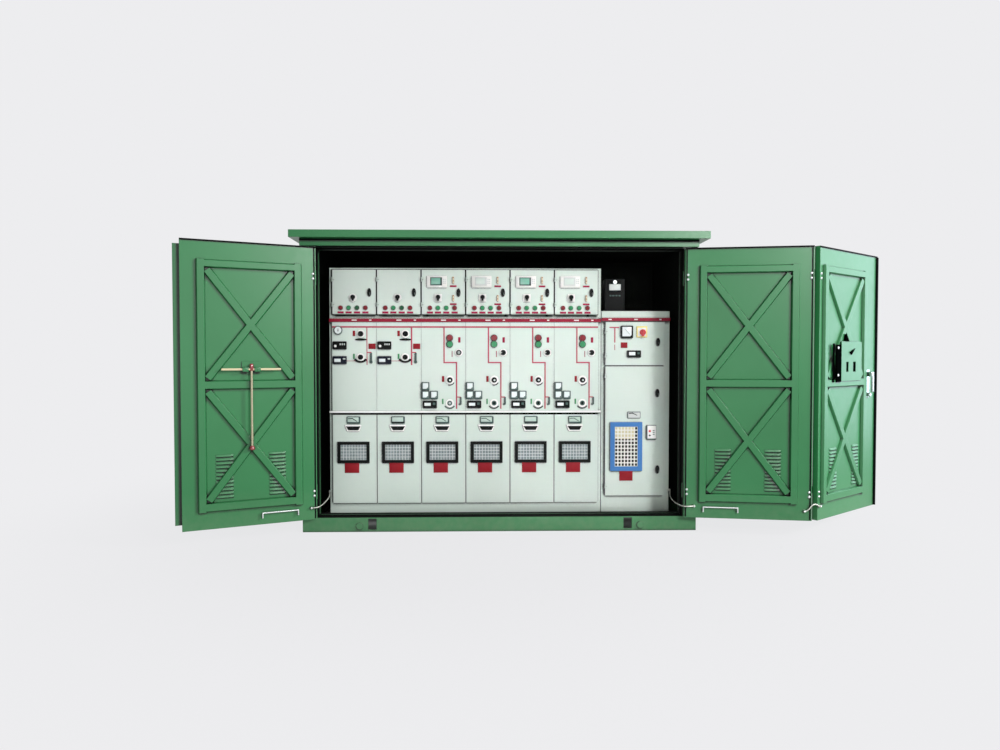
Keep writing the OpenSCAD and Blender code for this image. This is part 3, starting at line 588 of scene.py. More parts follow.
# Two black wedges and two black plates in the slots: painted shade for the dark opening between the brace
# legs, the hole below it and the cam slots.
for outline in ([(0.320, 1.331), (0.332, 1.380), (0.374, 1.331)], [(0.464, 1.280), (0.384, 1.252),
        (0.414, 1.234)]):
    prism(lock, outline, LOCK_TOP - 0.008, LOCK_TOP + 0.010)
for low, high in ((0.337, 0.381), (0.438, 0.486)):
    slab(lock, (low, LEAF_INNER + 0.0005, 1.108), (high, LOCK_TOP - 0.002, 1.190))
finish_piece(lock, "lock_screws_and_painted_shade", "root", [lacquer_and_shade_black, zinc], LEAF["right"])

HANDLE_U = 0.718
HANDLE_Z = 0.920
handle = bmesh.new()
for u1, u2, y1, y2, z1, z2, round_by in ((-0.034, 0.022, 0, 0.006, 0, 0.205, 0.002),
        (-0.030, 0.012, 0.004, 0.044, 0.155, 0.190, 0.005), (-0.014, 0.012, 0.030, 0.044, 0.040, 0.186,
        0.005)):
    slab(handle, (HANDLE_U + u1, LEAF_INNER + y1, HANDLE_Z + z1),
        (HANDLE_U + u2, LEAF_INNER + y2, HANDLE_Z + z2), round_by)
turned(handle, (HANDLE_U - 0.012, LEAF_INNER + 0.004, HANDLE_Z + 0.022),
    [(0, 0), (0.015, 0), (0.015, 0.020), (0.012, 0.026), (0, 0.026)], axis=(0, 1, 0))
piece = finish_piece(handle, "lock_handle_chrome", "root", [chrome], LEAF["right"])
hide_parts("lock_handle")

# ------------ rubber seals
# Black EPDM strips: round the opening behind the leaves, one on the header's front, one
# under the lid, an edge seal along the top of each leaf and down its hinge edges, and
# foam gaskets round the small doors and along the top of the cable covers. The strips
# round the opening, on the header and under the lid, and the gaskets are partly real
# seals and partly painted shade for the dark gaps there.
rubber_and_gap_shade = moulded("black_epdm_rubber_and_painted_gap_shade", "#030404", 0.8, grain_mm=0.8, skin=0.3, wear="#2c3030", worn=0.1,
    shine=0.1)
seals_and_shade = bmesh.new()
post_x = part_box("post_right")[0].x
header_low, header_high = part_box("header")
header_z = header_low.z + 0.008
stop_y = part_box("door_stop")[0].y
lid_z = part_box("roof")[0].z
for side in (-1, 1):
    x1, x2 = sorted((side * (post_x + 0.0002), side * (post_x + 0.0078)))
    slab(seals_and_shade, (x1, stop_y - 0.0022, 0.1085), (x2, stop_y + 0.0005, header_z - 0.0085))
for z1, z2 in ((header_z - 0.0078, header_z - 0.0005), (0.1005, 0.1080)):
    slab(seals_and_shade, (-post_x, stop_y - 0.0022, z1), (post_x, stop_y + 0.0005, z2))
slab(seals_and_shade, (-post_x, -0.6014, header_z + 0.0005), (post_x, -0.5995, header_z + 0.0085), 0.0007)
slab(seals_and_shade, (-header_high.x, header_low.y - 0.004, lid_z - 0.011),
    (header_high.x, header_low.y + 0.001, lid_z - 0.0005), 0.0015)
finish_piece(seals_and_shade, "frame_and_lid_seals_and_painted_shade", "root", [rubber_and_gap_shade])
RIM_LOW = LEAF_INNER - 0.001
RIM_HIGH = LEAF_INNER + 0.0022
RIM_IN = 0.007
RIM_TOP = 0.0105  # the top strip's lower edge, below the leaf's
RIM_ROUND = 0.0008
leaf_low, leaf_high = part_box("leaf_left")[0].z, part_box("leaf_left")[1].z
for leaf, sides in (("left", (0,)), ("middle", (0, 1)), ("right", ())):
    rim = bmesh.new()
    start = LEAF_EDGE[leaf]
    free = start + LEAF_WIDE - 0.001
    slab(rim, (start + 0.001, RIM_LOW, leaf_high - RIM_TOP), (free, RIM_HIGH + 0.002, leaf_high - 0.001),
        RIM_ROUND)
    for end in sides:
        u = start + RIM_IN + end * (LEAF_WIDE - 2 * RIM_IN - 0.008)
        slab(rim, (u, RIM_LOW, leaf_low + RIM_IN), (u + 0.008, RIM_HIGH, leaf_high - RIM_IN), RIM_ROUND)
    if leaf == "right":
        # Its free edge has a raised strip instead.
        slab(rim, (free - 0.013, RIM_LOW, leaf_low + 0.001),
            (free, LEAF_INNER + 0.012, leaf_high - RIM_TOP), RIM_ROUND)
    finish_piece(rim, f"{leaf}_leaf_edge_seal", LEAF_BODY[leaf], [rubber_and_gap_shade], LEAF[leaf])
# Gaskets in the small doors' gaps and under the waist trim: partly painted shade for the dark gaps.
gaskets_and_shade = bmesh.new()
for k in range(1, 7):
    low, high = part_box(f"lv_door_{k}")
    for x1, x2, z1, z2 in ((low.x - 0.005, low.x + 0.005, low.z - 0.004, high.z + 0.004),
            (high.x - 0.005, high.x + 0.005, low.z - 0.004, high.z + 0.004),
            (low.x, high.x, high.z - 0.003, high.z + 0.005)):
        slab(gaskets_and_shade, (x1, -0.3175, z1), (x2, -0.3155, z2), 0)
low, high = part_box("cable_doors")
slab(gaskets_and_shade, (low.x, -0.3285, high.z - 0.001), (high.x, -0.3265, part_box("waist_trim")[0].z + 0.001), 0)
finish_piece(gaskets_and_shade, "small_door_gaskets_and_painted_shade", "root", [rubber_and_gap_shade])

# ------------ bonding leads
# Tinned copper braid from the cabinets to the leaves, crimped in a lug under a zinc
# bolt at each end.
BRAID_MM = 3.0
LEAD_RADIUS = 0.004
LEFT_LEAD = [(-1.285, -0.675, 0.187), (-1.270, -0.676, 0.188), (-1.253, -0.670, 0.190),
    (-1.240, -0.648, 0.194), (-1.231, -0.610, 0.199), (-1.226, -0.560, 0.205), (-1.225, -0.500, 0.210),
    (-1.228, -0.440, 0.215), (-1.234, -0.390, 0.220), (-1.243, -0.350, 0.225), (-1.252, -0.322, 0.228),
    (-1.255, -0.300, 0.229)]
braid, tree, place = new_material("tinned_copper_braid")
weave = add(tree, "ShaderNodeTexChecker", Vector=place, Scale=1000 / BRAID_MM, Color1=linear("#f0efe8"),
    Color2=linear("#b9b8ad"))
surface(tree, Base_Color=weave.outputs["Color"], Metallic=0.7, Roughness=0.45,
    Normal=bump(tree, weave.outputs["Fac"], 0.5, 0.0004))
paint(braid, "bond_right", "bond_fold")


def smooth_line(points, steps=4):
    """More points along a route, on a Catmull-Rom curve through the given ones."""
    line = [Vector(p) for p in points]
    line = [2 * line[0] - line[1]] + line + [2 * line[-1] - line[-2]]
    found = []
    for a, b, c, d in zip(line, line[1:], line[2:], line[3:]):
        for k in range(steps):
            t = k / steps
            found.append(0.5 * (2 * b + (c - a) * t + (2 * a - 5 * b + 4 * c - d) * t * t
                + (3 * b - a - 3 * c + d) * t ** 3))
    return found + [line[-2]]


def swept(target, line, radius, sides=12):
    """A closed tube along a line of points."""
    piece = bmesh.new()
    rings = []
    angles = [2 * math.pi * i / sides for i in range(sides)]
    for k, point in enumerate(line):
        along = (line[min(k + 1, len(line) - 1)] - line[max(k - 1, 0)]).normalized()
        one = along.cross(Vector((0, 0, 1))).normalized()
        two = one.cross(along)
        rings.append([piece.verts.new(point + radius * (math.cos(a) * one + math.sin(a) * two))
            for a in angles])
    stitch(piece, rings)
    piece.faces.new(rings[0])
    piece.faces.new(rings[-1])
    put(target, piece, 0)


lead = bmesh.new()
swept(lead, smooth_line(LEFT_LEAD), LEAD_RADIUS)
bmesh.ops.recalc_face_normals(lead, faces=lead.faces[:])
mesh = bpy.data.meshes.new("bond_left_braid")
lead.to_mesh(mesh)
lead.free()
mesh.materials.append(braid)
mesh.polygons.foreach_set("use_smooth", [True] * len(mesh.polygons))
piece = new_object("bond_left_braid", mesh)
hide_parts("bond_left")
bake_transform(piece)
spots = {"left": [(0.042, 0.187)], "middle": [(0.070, 0.187), (0.800, 0.172)], "right": [(0.025, 0.202)]}
for leaf, places in spots.items():
    mesh = grow("lug_bolts", heads, [(u, LEAF_INNER + 0.0150, z) for u, z in places],
        {"Head Diameter": 0.0155, "Head Height": 0.006, "Finish": zinc})
    settle(mesh, f"{leaf}_leaf_lug_bolts", LEAF_BODY[leaf], LEAF[leaf])
lug = bmesh.new()
turned(lug, (-1.244, -0.300, 0.229), [(0, 0), (0.008, 0), (0.008, 0.011), (0.005, 0.015), (0, 0.015)],
    axis=(-1, 0, 0))
finish_piece(lug, "bond_left_gear_lug", "root", [zinc])

# ------------ switchgear shell
# Sheet-steel tanks, covers and doors of the six bays and the side cabinet, in a pale
# grey-green powder coat, smoother and glossier than the kiosk's.
pale_powder = baked_powder("pale_grey_green_powder_coat", "#d6e2d9", "#c8d9cf", 0.34, dust=0.08,
    peel=0.12)
paint(pale_powder, "gear_body", "lv_box", "control_panels", "cable_doors", "side_housing",
    "side_upper_door", "side_lower_door", *[f"lv_door_{k}" for k in range(1, 7)])
white_enamel = moulded("white_stoved_enamel", "#f4f5f1", 0.35)
paint(white_enamel, "waist_trim")

# From here on the sizes of the fittings are in millimetres, as on a panel drawing.
FACE = -330
BAY = 325
BAY_LEFTS = [1000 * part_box("cable_doors")[0].x - 3 + bay * BAY for bay in range(6)]


def mm(*sizes):
    """Millimetres as metres."""
    return [size / 1000 for size in sizes]


# ------------ red name strips
# A red enamelled strip along the top of the panels and of the side cabinet, with
# small blank white cards fixed to it.
red_strip_enamel = moulded("red_stoved_enamel", "#92082a", 0.5, wear="#c84a62", worn=0.08, shine=0.2)
paint(red_strip_enamel, "red_strips")
card_stock = moulded("white_laminated_card", "#e9e4e4", 0.5)
cards = bmesh.new()
places = [(left + u, wide, 1483.5) for left in BAY_LEFTS for u, wide in ((145, 36), (272, 16))]
for x, wide, z in places + [(800, 24, 1490.5), (990, 26, 1490.5), (1176, 16, 1490.5)]:
    slab(cards, mm(x, -333.8, z), mm(x + wide, -332.5, z + 8), 0.0003)
finish_piece(cards, "name_cards", "root", [card_stock])

# ------------ low-voltage doors
# Fittings on the six small doors: four signal lamps over bare plates, a black rotary
# switch on a white plate and an oval latch. Bays 3 to 6 add a relay and test strips.
black_abs = moulded("black_moulded_abs", "#020303", 0.55, wear="#2c3030", worn=0.1, shine=0.12)
white_abs = moulded("white_moulded_abs", "#f2f3ef", 0.45)
grey_abs = moulded("light_grey_moulded_abs", "#c9d0cc", 0.45)
# Mid grey for the painted highlights on the latch handles.
glint_grey_abs = moulded("grey_abs_for_painted_glints", "#56625f", 0.45)
LENS = {"rough": 0.3, "skin": 0.03, "worn": 0.05, "shine": 0.3}
red_lens = moulded("red_moulded_acrylic", "#84091a", wear="#d05a64", **LENS)
green_lens = moulded("green_moulded_acrylic", "#259058", wear="#8ed8b0", **LENS)
dark_green_lens = moulded("dark_green_moulded_acrylic", "#0c5230", wear="#6cb890", **LENS)
magenta_plate = moulded("magenta_laminate", "#a00a3a", 0.55, wear="#d05a7c", worn=0.08, shine=0.2)
beige_strip = moulded("beige_moulded_nylon", "#d9c9a6", 0.5)
green_screen = moulded("green_backlit_display_glass", "#6cb39a", 0.12, skin=0.0, coat=0.5)
pale_screen = moulded("pale_display_glass", "#d3e2d9", 0.12, skin=0.0, coat=0.5)
dark_glass = moulded("dark_display_surround", "#2b4440", 0.2, skin=0.0, coat=0.4)
LV_FINISHES = [black_abs, white_abs, grey_abs, red_lens, green_lens, dark_green_lens, magenta_plate,
    beige_strip, green_screen, pale_screen, dark_glass, glint_grey_abs]
BLACK, WHITE, GREY, RED, GREEN, DEEP_GREEN, MAGENTA, BEIGE, LIT, PALE, DARK, GLINT_GREY = range(12)
TAG = 1.2  # how far a laminate tag stands out
LAP = 0.5  # how deep a fitting's back lies in the face behind it


def plate(target, x, z, wide, tall, high, finish, round_by=0.8, back=FACE):
    """A rounded plate centred on x and z that stands out of the face."""
    slab(target, mm(x - wide / 2, back - high, z - tall / 2), mm(x + wide / 2, back + LAP, z + tall / 2),
        round_by / 1000, finish)


def plates(target, left, *rows, back=FACE):
    """Plates at places measured from the left of a bay."""
    for u, *row in rows:
        plate(target, left + u, *row, back=back)


def cut_plate(target, left, outline, high, finish):
    """A flat plate of any outline that stands out of the face."""
    prism(target, [mm(left + u, z) for u, z in outline], *mm(FACE - high, FACE + LAP), finish)


def button(target, x, z, outline, finish, back=FACE):
    """A round part turned about a line out of the face."""
    turned(target, mm(x, back, z), [mm(*point) for point in outline], finish)


def oval(x, z, wide, tall, steps=24):
    """Points round an oval."""
    angles = [2 * math.pi * k / steps for k in range(steps)]
    return [(x + wide / 2 * math.cos(a), z + tall / 2 * math.sin(a)) for a in angles]


def oval_latch(target, x, z, painted_glint, tall=60):
    """A quarter-turn swing latch: a raised oval rim with its handle lying in it and a painted highlight on
    the handle.
    """
    cut_plate(target, x, oval(0, z, 27, tall), 6, BLACK)
    cut_plate(target, x, oval(0, z, 19, tall - 12), 10.5, BLACK)
    # A small grey oval on the handle: a painted highlight.
    cut_plate(target, x, oval(5, z - 10, 4, 20), 11.2, painted_glint)


def signal_lamp(target, x, z, lens):
    """A signal lamp: a black bezel with a domed lens."""
    button(target, x, z, [(16.5, 0), (16.5, 3), (15.2, 4), (15.2, 0)], BLACK)
    button(target, x, z, [(15.2, 1), (15, 6), (12.5, 10.5), (8, 12), (0, 12.5)], lens)


def rotary_switch(target, x, z, square):
    """A black pear-shaped switch handle on a white plate."""
    if square:
        plate(target, x, z, 54, 56, 3, WHITE, 1.5)
    else:
        button(target, x, z, [(29, 0), (29, 2), (27, 3), (0, 3)], WHITE)
    button(target, x, z + 5, [(16.5, 0), (16.5, 12), (14, 16), (0, 16)], BLACK)
    for top, foot, half_top, half_foot, high in ((0, -23, 10, 6, 22), (18, -20, 4.5, 4.5, 27)):
        cut_plate(target, x, [(-half_top, z + top), (half_top, z + top), (half_foot, z + foot),
            (-half_foot, z + foot)], high, BLACK)


for bay, left in enumerate(BAY_LEFTS):
    has_relay, is_lit = bay >= 2, bay in (2, 4)
    door = bmesh.new()
    for u, lens in zip((65, 123, 184, 245), (RED, GREEN, GREEN if has_relay else DEEP_GREEN, RED)):
        signal_lamp(door, left + u, 1578, lens)
        plate(door, left + u, 1543.5, 44, 14, TAG, MAGENTA, 0.3)
    rotary_switch(door, left + (124 if has_relay else 154), 1651, has_relay)
    oval_latch(door, left + 274, 1690, GLINT_GREY)
    if has_relay:
        plates(door, left, (117, 1768, 146, 86, 6, WHITE, 2), (117, 1768, 136, 76, 11, WHITE, 2),
            (110.5, 1769.5, 87, 60, 12.5, DARK if is_lit else GREY, 1),
            (108, 1770.5, 66, 44, 13.2, LIT if is_lit else PALE, 0.5))
        plates(door, left, *[(164 + column * 12, 1784 - row * 14, 8, 9, 13.5, GREY, 1) for row in range(3)
            for column in range(2)])
        for z, tall in ((1780, 50), (1649, 44)):
            plates(door, left, (235, z, 12, tall, 5, BEIGE, 1), *[(235,
                z - tall / 2 + (step + 0.5) * tall / 4, 7, 6, 7, RED if step % 2 else BEIGE, 1)
                for step in range(4)])
        plates(door, left, *[(235, z, 48, 12, TAG, MAGENTA, 0.3) for z in (1736, 1605)])
    piece = finish_piece(door, f"lv_door_fittings_{bay + 1}", f"lv_door_body_{bay + 1}",
        LV_FINISHES)
    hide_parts(f"lv_panel_{bay + 1}")

# ------------ mimic diagram
# Screen-printed red lines that follow the busbar and the circuit of each bay. The
# ink is drawn half a millimetre proud.
mimic_ink = moulded("red_screen_print_ink", "#b62a4a", 0.5, skin=0.05, worn=0.08, shine=0.3)
BUS_Z = 1438


def ink(target, left, x1, x2, z1, z2, wide=9, finish=0):
    """One printed line between two points, along x or z."""
    slab(target, mm(left + x1 - wide / 2, FACE - 0.6, z1 - wide / 2),
        mm(left + x2 + wide / 2, FACE + 0.3, z2 + wide / 2), 0, finish)


mimic = bmesh.new()
ink(mimic, BAY_LEFTS[0], 8, 6 * BAY - 8, BUS_Z, BUS_Z, 11)
for bay, left in enumerate(BAY_LEFTS):
    for line in ([(255, 255, 1165, BUS_Z, 10 if bay else 6), (258, 284, 1252, 1252, 7),
            (108, 168, 1190, 1190, 3)] if bay < 2 else [(167, 167, 1178, BUS_Z), (167, 258, 1178, 1178),
            (258, 258, 843, 1178), (258, 284, 925, 925, 7)]):
        ink(mimic, left, *line)
finish_piece(mimic, "mimic_lines", "root", [mimic_ink])

# ------------ switch controls
# Load-switch bays 1 and 2: operating sockets in black caps with curved travel slots,
# indicator modules, a gas gauge in bay 1, padlock tags and the earthing hook.
red_laminate = moulded("red_laminate", "#8f0a18", 0.55, wear="#d05a64", worn=0.08, shine=0.2)
green_laminate = moulded("green_laminate", "#248a4d", 0.5, shine=0.3)
meter_face = moulded("white_dial_card_under_glass", "#e6efee", 0.15, skin=0.0, coat=0.4)
navy_abs = moulded("navy_moulded_abs", "#04081a", 0.55, wear="#28304a", worn=0.1, shine=0.15)
grey_rim = moulded("grey_green_moulded_rim", "#35504b", 0.5, worn=0.02, shine=0.25)
CONTROL_FINISHES = [black_abs, white_abs, grey_abs, red_lens, green_lens, red_laminate, green_laminate,
    meter_face, navy_abs, grey_rim, magenta_plate]
(BLACK, WHITE, GREY, RED, GREEN, RED_TAG, GREEN_TAG, DIAL, NAVY, RIM, MAGENTA) = range(11)


def arc_bar(target, x, z, radius, start, end, wide, high, finish):
    """A curved bar of one width round a point, from one angle to another in degrees."""
    angles = [math.radians(start + (end - start) * k / 14) for k in range(15)]
    outer, inner = [[(far * math.cos(a), z + far * math.sin(a)) for a in angles]
        for far in (radius + wide / 2, radius - wide / 2)]
    cut_plate(target, x, outer + inner[::-1], high, finish)


def capped_knob(target, x, z, across, disc=60):
    """A black round cap on a white escutcheon."""
    button(target, x, z, [(disc / 2, 0), (disc / 2, TAG), (0, TAG)], WHITE)
    button(target, x, z, [(across / 2, 0), (across / 2, 10), (across / 2 - 3, 14), (across / 4, 15),
        (0, 15)], BLACK)


switches = bmesh.new()
for left in BAY_LEFTS[:2]:
    if left == BAY_LEFTS[0]:
        gauge = left + 46
        button(switches, gauge, 1414, [(31, 0), (31, 8), (26.5, 10), (25.5, 9), (25.5, 0)], RIM)
        button(switches, gauge, 1414, [(25.5, 2), (25.5, 6), (0, 6)], DIAL)
        cut_plate(switches, gauge, [(-2, 1402), (2, 1402), (0.5, 1431), (-0.5, 1431)], 7, BLACK)
        button(switches, gauge, 1414, [(4, 5), (4, 8), (0, 8)], BLACK)
    capped_knob(switches, left + 210, 1388, 40)
    cut_plate(switches, left, oval(211, 1347, 86, 14), 4, BLACK)
    button(switches, left + 26.5, 1298.5, [(9.5, 0), (9.5, 10.5), (0, 11.5)], WHITE)
    capped_knob(switches, left + 208, 1217, 38)
    arc_bar(switches, left + 208, 1240, 56, 222, 318, 13, 4, BLACK)
    plates(switches, left, (161, 1391, 17, 39, TAG, RED_TAG, 0.3), (57.5, 1304, 99, 56, 9, BLACK, 2),
        *[(62 + step * 15, 1311, 8, 12, 9.6, GREY, 0.5) for step in range(3)],
        (57.5, 1196.5, 99, 56, 9, NAVY, 2), (41, 1194, 46, 24, 10.5, DIAL), (90, 1205, 18, 10, 10, GREY),
        (160, 1224, 12, 36, TAG, GREEN_TAG, 0.3), (292, 1297, 51, 39, 1.5, RED_TAG, 0.5),
        (286, 1215, 11, 70, 8, RIM, 3), (286, 1183, 18, 14, 12, RIM, 3))
piece = finish_piece(switches, "switch_bay_fittings", "root", CONTROL_FINISHES)
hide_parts("switch_controls")

# ------------ breaker controls
# Breaker bays 3 to 6: red and green push buttons, an interlock ring, two operating
# sockets with travel arcs, three square meters, a module and the earthing loop.
breakers = bmesh.new()
for bay, left in enumerate(BAY_LEFTS[2:], 2):
    for z, lens in ((1359, RED), (1312, GREEN)):
        button(breakers, left + 208.5, z, [(24.5, 0), (24.5, 3), (21.5, 5), (21.5, 0)], BLACK)
        button(breakers, left + 208.5, z, [(21.5, 3), (20.5, 11), (18, 13), (0, 13.5)], lens)
    lock_x = left + 275
    button(breakers, lock_x, 1251, [(28.5, 0), (28.5, TAG), (0, TAG)], WHITE)
    if bay == 2:
        button(breakers, lock_x, 1251, [(19.5, 0), (19.5, 9), (11.5, 9), (11.5, 0)], BLACK)
        button(breakers, lock_x, 1251, [(11.5, 2), (8, 5), (0, 5)], GREY)
    else:
        button(breakers, lock_x, 1251, [(19.5, 0), (19.5, 9), (16, 11), (0, 11)], BLACK)
        cut_plate(breakers, left, [(268, 1251), (255, 1259), (255, 1243)], 11.5, WHITE)
    capped_knob(breakers, left + 209, 1050, 40, 66)
    button(breakers, left + 211, 1049, [(7.5, 14), (7.5, 16.5), (0, 16.5)], GREY)
    arc_bar(breakers, left + 205, 1054, 41, 262, 325, 6, 3, BLACK)
    for u, z in ((31, 1004.5), (31, 941), (93, 941)):
        plates(breakers, left, (u, z, 56, 58, 10, RIM, 2), (u, z + 2, 40, 42, 10.8, DIAL, 1))
        cut_plate(breakers, left + u, [(19, z - 18), (19, z - 6), (6, z - 18)], 11.3, RIM)
    socket = left + 208
    button(breakers, socket, 880, [(31, 0), (31, TAG), (0, TAG)], WHITE)
    button(breakers, socket, 880, [(18, 0), (18, 8), (12, 10), (9, 10), (9, 4)], RIM)
    button(breakers, socket, 880, [(9, 4), (0, 6)], GREY if bay == 2 else BLACK)
    arc_bar(breakers, socket, 884, 42, 215, 325, 6, 3, RIM if bay == 2 else BLACK)
    plates(breakers, left, (279, 1344, 16, 38, TAG, MAGENTA, 0.3), (226, 1241, 4, 44, TAG, MAGENTA, 0.3),
        (160, 1058, 16, 42, TAG, RED_TAG, 0.3), (63, 871, 101, 52, 9, BLACK, 2),
        (46, 872, 46, 22, 10.5, DIAL), (93, 876, 18, 18, 10, RIM),
        (157, 893, 10, 38, TAG, GREEN_TAG, 0.3), (290, 898, 8, 56, 8, RIM, 3),
        (281, 872, 14, 8, 8, RIM, 3))
piece = finish_piece(breakers, "breaker_bay_fittings", "root", CONTROL_FINISHES)
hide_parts("breaker_controls")

# ------------ cable covers
# Each lift-off cable cover has a voltage-indicator window, a black recessed grip in a
# white rim, a viewing window in a black frame behind wire mesh, and a bare red plate.
grey_glass = moulded("grey_laminated_glass", "#5f7274", 0.1, skin=0.0, worn=0.3, coat=0.3)
pale_glass = moulded("pale_indicator_glass", "#b9cfc4", 0.15, skin=0.0, coat=0.4)
COVER_FINISHES = [black_abs, white_enamel, grey_glass, pale_glass, red_laminate, grey_rim]
(BLACK, WHITE, GLASS, PALE, RED_TAG, RIM) = range(6)
POINTER = [(114, 770), (148, 772), (184, 748), (180, 745), (146, 766), (114, 764)]


def frame_plate(target, x1, x2, z1, z2, bar, high, finish):
    """A rectangular frame of four mitred bars with a rounded face."""
    piece = bmesh.new()
    loops = [[piece.verts.new(mm(x, FACE - out, z)) for x, z in ((x1 + inset, z1 + inset),
        (x2 - inset, z1 + inset), (x2 - inset, z2 - inset), (x1 + inset, z2 - inset))] for inset,
        out in ((0, -0.5), (0, high - 1), (1, high), (bar - 1, high), (bar, high - 1), (bar, -0.5))]
    stitch(piece, loops + loops[:1])
    put(target, piece, finish)


covers = bmesh.new()
for bay, left in enumerate(BAY_LEFTS):
    plates(covers, left, (155, 757, 98, 52, 6, RIM, 5), (152, 760, 86, 40, 6.5, PALE, 4))
    if bay % 3 != 1:
        cut_plate(covers, left, POINTER, 6.9, RIM if bay else BLACK)
    else:
        plate(covers, left + 155, 741, 90, 10, 7, BLACK, 2)
    cut_plate(covers, left, [(90, 722), (213, 722), (196, 674), (108, 674)], 3, WHITE)
    cut_plate(covers, left, [(98, 711), (205, 711), (189, 682), (117, 682)], 3.8, BLACK)
    frame_plate(covers, left + 38, left + 270, 442, 598, 22, 8, BLACK)
    plate(covers, left + 154, 520, 192, 116, 1, GLASS, 0)
    plate(covers, left + 141.5, 405, 105, 72, 1.5, RED_TAG, 0.4)
piece = finish_piece(covers, "cable_cover_fittings", "root", COVER_FINISHES)
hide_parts("cable_windows")

# Welded wire mesh: one tree draws the wires of one window and sets it at each centre.
wires, given = new_tree("welded_wire_mesh", {"Mesh Width": 0.19, "Mesh Height": 0.116, "Wires Across": 9,
    "Wires Up": 6, "Wire Diameter": 0.003, "Finish": ""})
thin = maths(wires, "DIVIDE", given["Wire Diameter"], 2.0)
nets = []
for count, across, long, letter, tilt in ((given["Wires Across"], given["Mesh Width"],
        given["Mesh Height"], "X", 0.0), (given["Wires Up"], given["Mesh Height"], given["Mesh Width"],
        "Z", math.radians(90))):
    wire = add(wires, "GeometryNodeMeshCylinder", fill_type="NGON", Vertices=6, Radius=thin, Depth=long)
    wire = add(wires, "GeometryNodeTransform", Geometry=wire, Rotation=(0, tilt, 0))
    pitch = maths(wires, "DIVIDE", across, maths(wires, "SUBTRACT", count, 1.0))
    start = add(wires, "ShaderNodeCombineXYZ", **{letter: maths(wires, "MULTIPLY", across, -0.5)})
    step = add(wires, "ShaderNodeCombineXYZ", **{letter: pitch})
    line = add(wires, "GeometryNodeMeshLine", Count=count, Start_Location=start, Offset=step)
    net = add(wires, "GeometryNodeInstanceOnPoints", Points=line, Instance=wire)
    nets.append(net)
add(wires, "NodeGroupOutput", set_out(wires, given["Geometry"], joined(wires, *nets), given["Finish"]))
pale_wire = moulded("galvanised_wire", "#d5dcdb", 0.4, metal=0.3)
centres = [mm(left + 154, FACE - 3.5, 520) for left in BAY_LEFTS]
mesh = grow("cover_wires", wires, centres, {"Mesh Width": 0.190, "Mesh Height": 0.114, "Wires Across": 10,
    "Wires Up": 6, "Wire Diameter": 0.0032, "Finish": pale_wire})
settle(mesh, "cable_window_mesh", "root")

# ------------ side cabinet, upper door
# Metering door: a square meter, a red rotary main switch on a yellow plate, a red tag,
# an indicator module, a short printed mimic and an oval latch.
yellow_plate = moulded("yellow_laminate", "#efe07a", 0.4)
switch_red = moulded("red_moulded_nylon", "#d3202f", 0.35)
SIDE_FINISHES = [black_abs, white_abs, grey_abs, yellow_plate, switch_red, red_laminate, meter_face,
    grey_rim, mimic_ink, glint_grey_abs]
(BLACK, WHITE, GREY, YELLOW, RED, RED_TAG, DIAL, RIM, INK, GLINT_GREY) = range(10)
upper = bmesh.new()
plates(upper, 0, (937, 1403, 88, 90, 12, BLACK, 3), (935, 1405, 68, 70, 13, DIAL, 2),
    (1047.5, 1404, 79, 82, 3, YELLOW, 2), (1047.5, 1402, 62, 64, 4, WHITE, 2),
    (917, 1306, 48, 40, 1.5, RED_TAG, 0.5), (990.5, 1241.5, 101, 50, 9, BLACK, 2),
    (975, 1243, 46, 24, 10.5, DIAL), (1022, 1246, 16, 16, 10, RIM))
button(upper, 1053, 1400, [(22.5, 0), (22.5, 14), (19, 19), (0, 19)], RED)
for outline, high, finish in (([(973, 1366), (973, 1384), (955, 1366)], 13.5, BLACK),
        ([(955, 1384), (956.5, 1385.5), (921, 1424), (919.5, 1422.5)], 13.3, RIM),
        ([(1041, 1392), (1065, 1392), (1060, 1370), (1046, 1370)], 24, RED),
        ([(1048, 1420), (1058, 1420), (1058, 1373), (1048, 1373)], 30, RED)):
    cut_plate(upper, 0, outline, high, finish)
oval_latch(upper, 1169, 1329, GLINT_GREY)
for line in ((813, 876, 1436, 1436, 8), (848, 848, 1329, 1432, 8), (848, 848, 1272, 1308, 4)):
    ink(upper, 0, *line, INK)
piece = finish_piece(upper, "side_upper_fittings", "side_upper", SIDE_FINISHES)
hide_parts("side_upper_controls")

# ------------ side cabinet, lower door
# Transformer door: two oval latches, an indicator window, a white interlock box, a
# blue framed viewing window behind white mesh and a bare red plate.
lower = bmesh.new()
oval_latch(lower, 1166, 953, GLINT_GREY)
oval_latch(lower, 1169, 387, GLINT_GREY)
plates(lower, 0, (992, 791, 96, 48, 5, RIM, 2), (992, 790, 88, 40, 5.5, GREY, 1),
    (1120.5, 662, 73, 106, 10, RIM, 3), (1122.5, 664, 64, 96, 12.5, WHITE, 3),
    *[(1136, 676 - k * 14, 14, 6, 13.5, RIM, 1) for k in range(3)], (935, 340, 98, 72, 1.5, RED_TAG, 0.5))
cut_plate(lower, 0, [(952, 806), (982, 808), (1016, 790), (1014, 786), (980, 801), (952, 799)], 6, BLACK)
button(lower, 1107, 672, [(8.5, 0), (8.5, 15), (0, 17)], RED)
button(lower, 1107, 640, [(6.5, 0), (6.5, 15), (0, 16)], BLACK)
piece = finish_piece(lower, "side_lower_fittings_detail", "side_lower", SIDE_FINISHES)
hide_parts("side_lower_fittings")

WIRES_Y = -0.3342
FLATTEN = 0.55  # the dipped wires' depth as a share of their width
blue_powder = baked_powder("blue_powder_coat", "#2f7cc4", "#2a6fb4", 0.36, dust=0.05, peel=0.1)
cream_board = moulded("cream_insulating_board", "#d8cfa8", 0.6)
window = bmesh.new()
low, high = (1000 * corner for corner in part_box("side_window"))
frame_plate(window, low.x, high.x, low.z, high.z, 34, 10, 0)
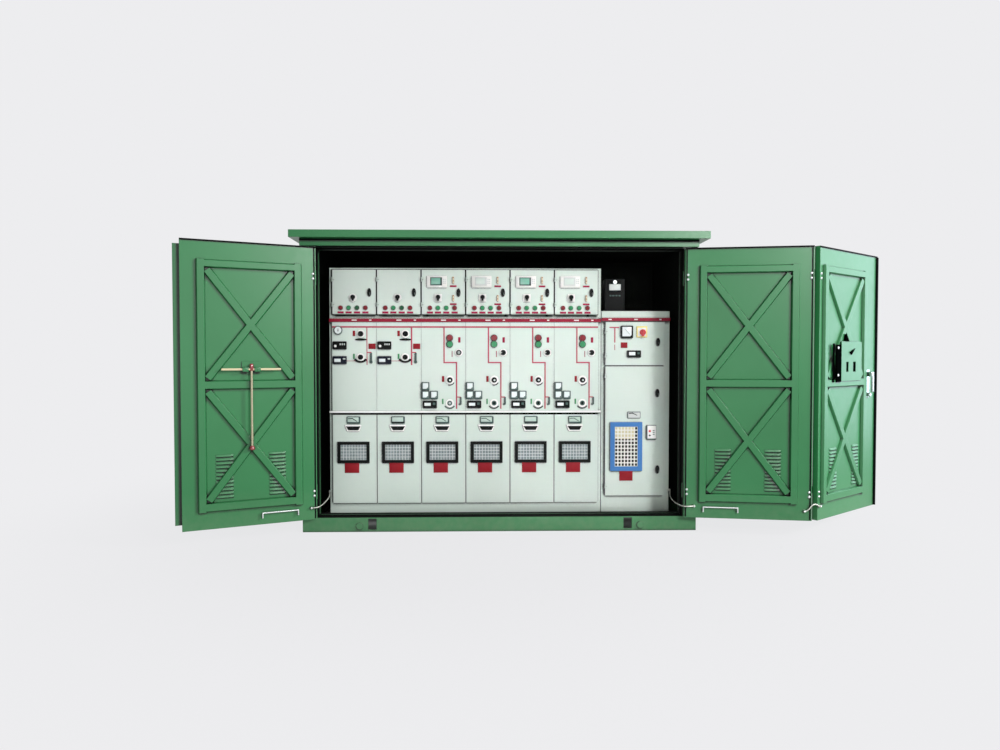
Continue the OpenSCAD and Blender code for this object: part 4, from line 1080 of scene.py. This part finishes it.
# A near-black pane behind the mesh: painted shade for the unlit inside of the cabinet.
slab(window, mm(low.x + 30, FACE - 0.8, low.z + 30), mm(high.x - 30, FACE + 0.3, high.z - 30), 0, 1)
slab(window, mm(low.x + 33, FACE - 1.8, high.z - 125), mm(high.x - 52, FACE - 0.5, high.z - 33), 0.0005,
    2)
piece = finish_piece(window, "side_window_frame", "side_lower",
    [blue_powder, near_black_shade, cream_board])
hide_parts("side_window")
white_wire = moulded("white_dipped_wire", "#f1f1ea", 0.4)
mesh = grow("side_wires", wires, [((low.x + high.x) / 2000, WIRES_Y, (low.z + high.z) / 2000)],
    {"Mesh Width": (high.x - low.x) / 1000 - 0.066, "Mesh Height": (high.z - low.z) / 1000 - 0.066,
    "Wires Across": 8, "Wires Up": 12, "Wire Diameter": 0.0085, "Finish": white_wire})
mesh.transform(Matrix.Translation((0, WIRES_Y, 0)) @ Matrix.Scale(FLATTEN, 4, (0, 1, 0))
    @ Matrix.Translation((0, -WIRES_Y, 0)))
settle(mesh, "side_window_mesh", "side_lower")

# ------------ monitor unit
# A dark instrument on top of the side cabinet with a lamp, a pale display and a dark
# lower half. It stands back in the shade.
lamp_white, tree, place = new_material("lit_white_indicator_lens")
lit = two_tone(tree, noise(tree, place, 200.0), "#ffffff", "#dfeeee")
surface(tree, Base_Color=lit, Roughness=0.3, Emission_Color=lit, Emission_Strength=0.7)
monitor = bmesh.new()
slab(monitor, *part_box("monitor_unit"), 0.004)
low, high = (1000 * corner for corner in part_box("monitor_unit"))
middle_x = (low.x + high.x) / 2
plates(monitor, middle_x, (0, high.z - 58, 104, 78, 4, 1, 3), (0, high.z - 60, 86, 46, 5, 2, 2),
    (0, low.z + 50, 100, 70, 3, 4, 3), *[(-33 + k * 22, high.z - 122, 14, 10, 6, 1, 2) for k in range(4)],
    back=low.y + 4)
button(monitor, middle_x, high.z - 22, [(14, 0), (14, 6), (0, 9)], 3, low.y + 2)
piece = finish_piece(monitor, "monitor_unit_detail", "root",
    [black_abs, grey_rim, grey_abs, lamp_white, dark_glass])
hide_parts("monitor_unit")
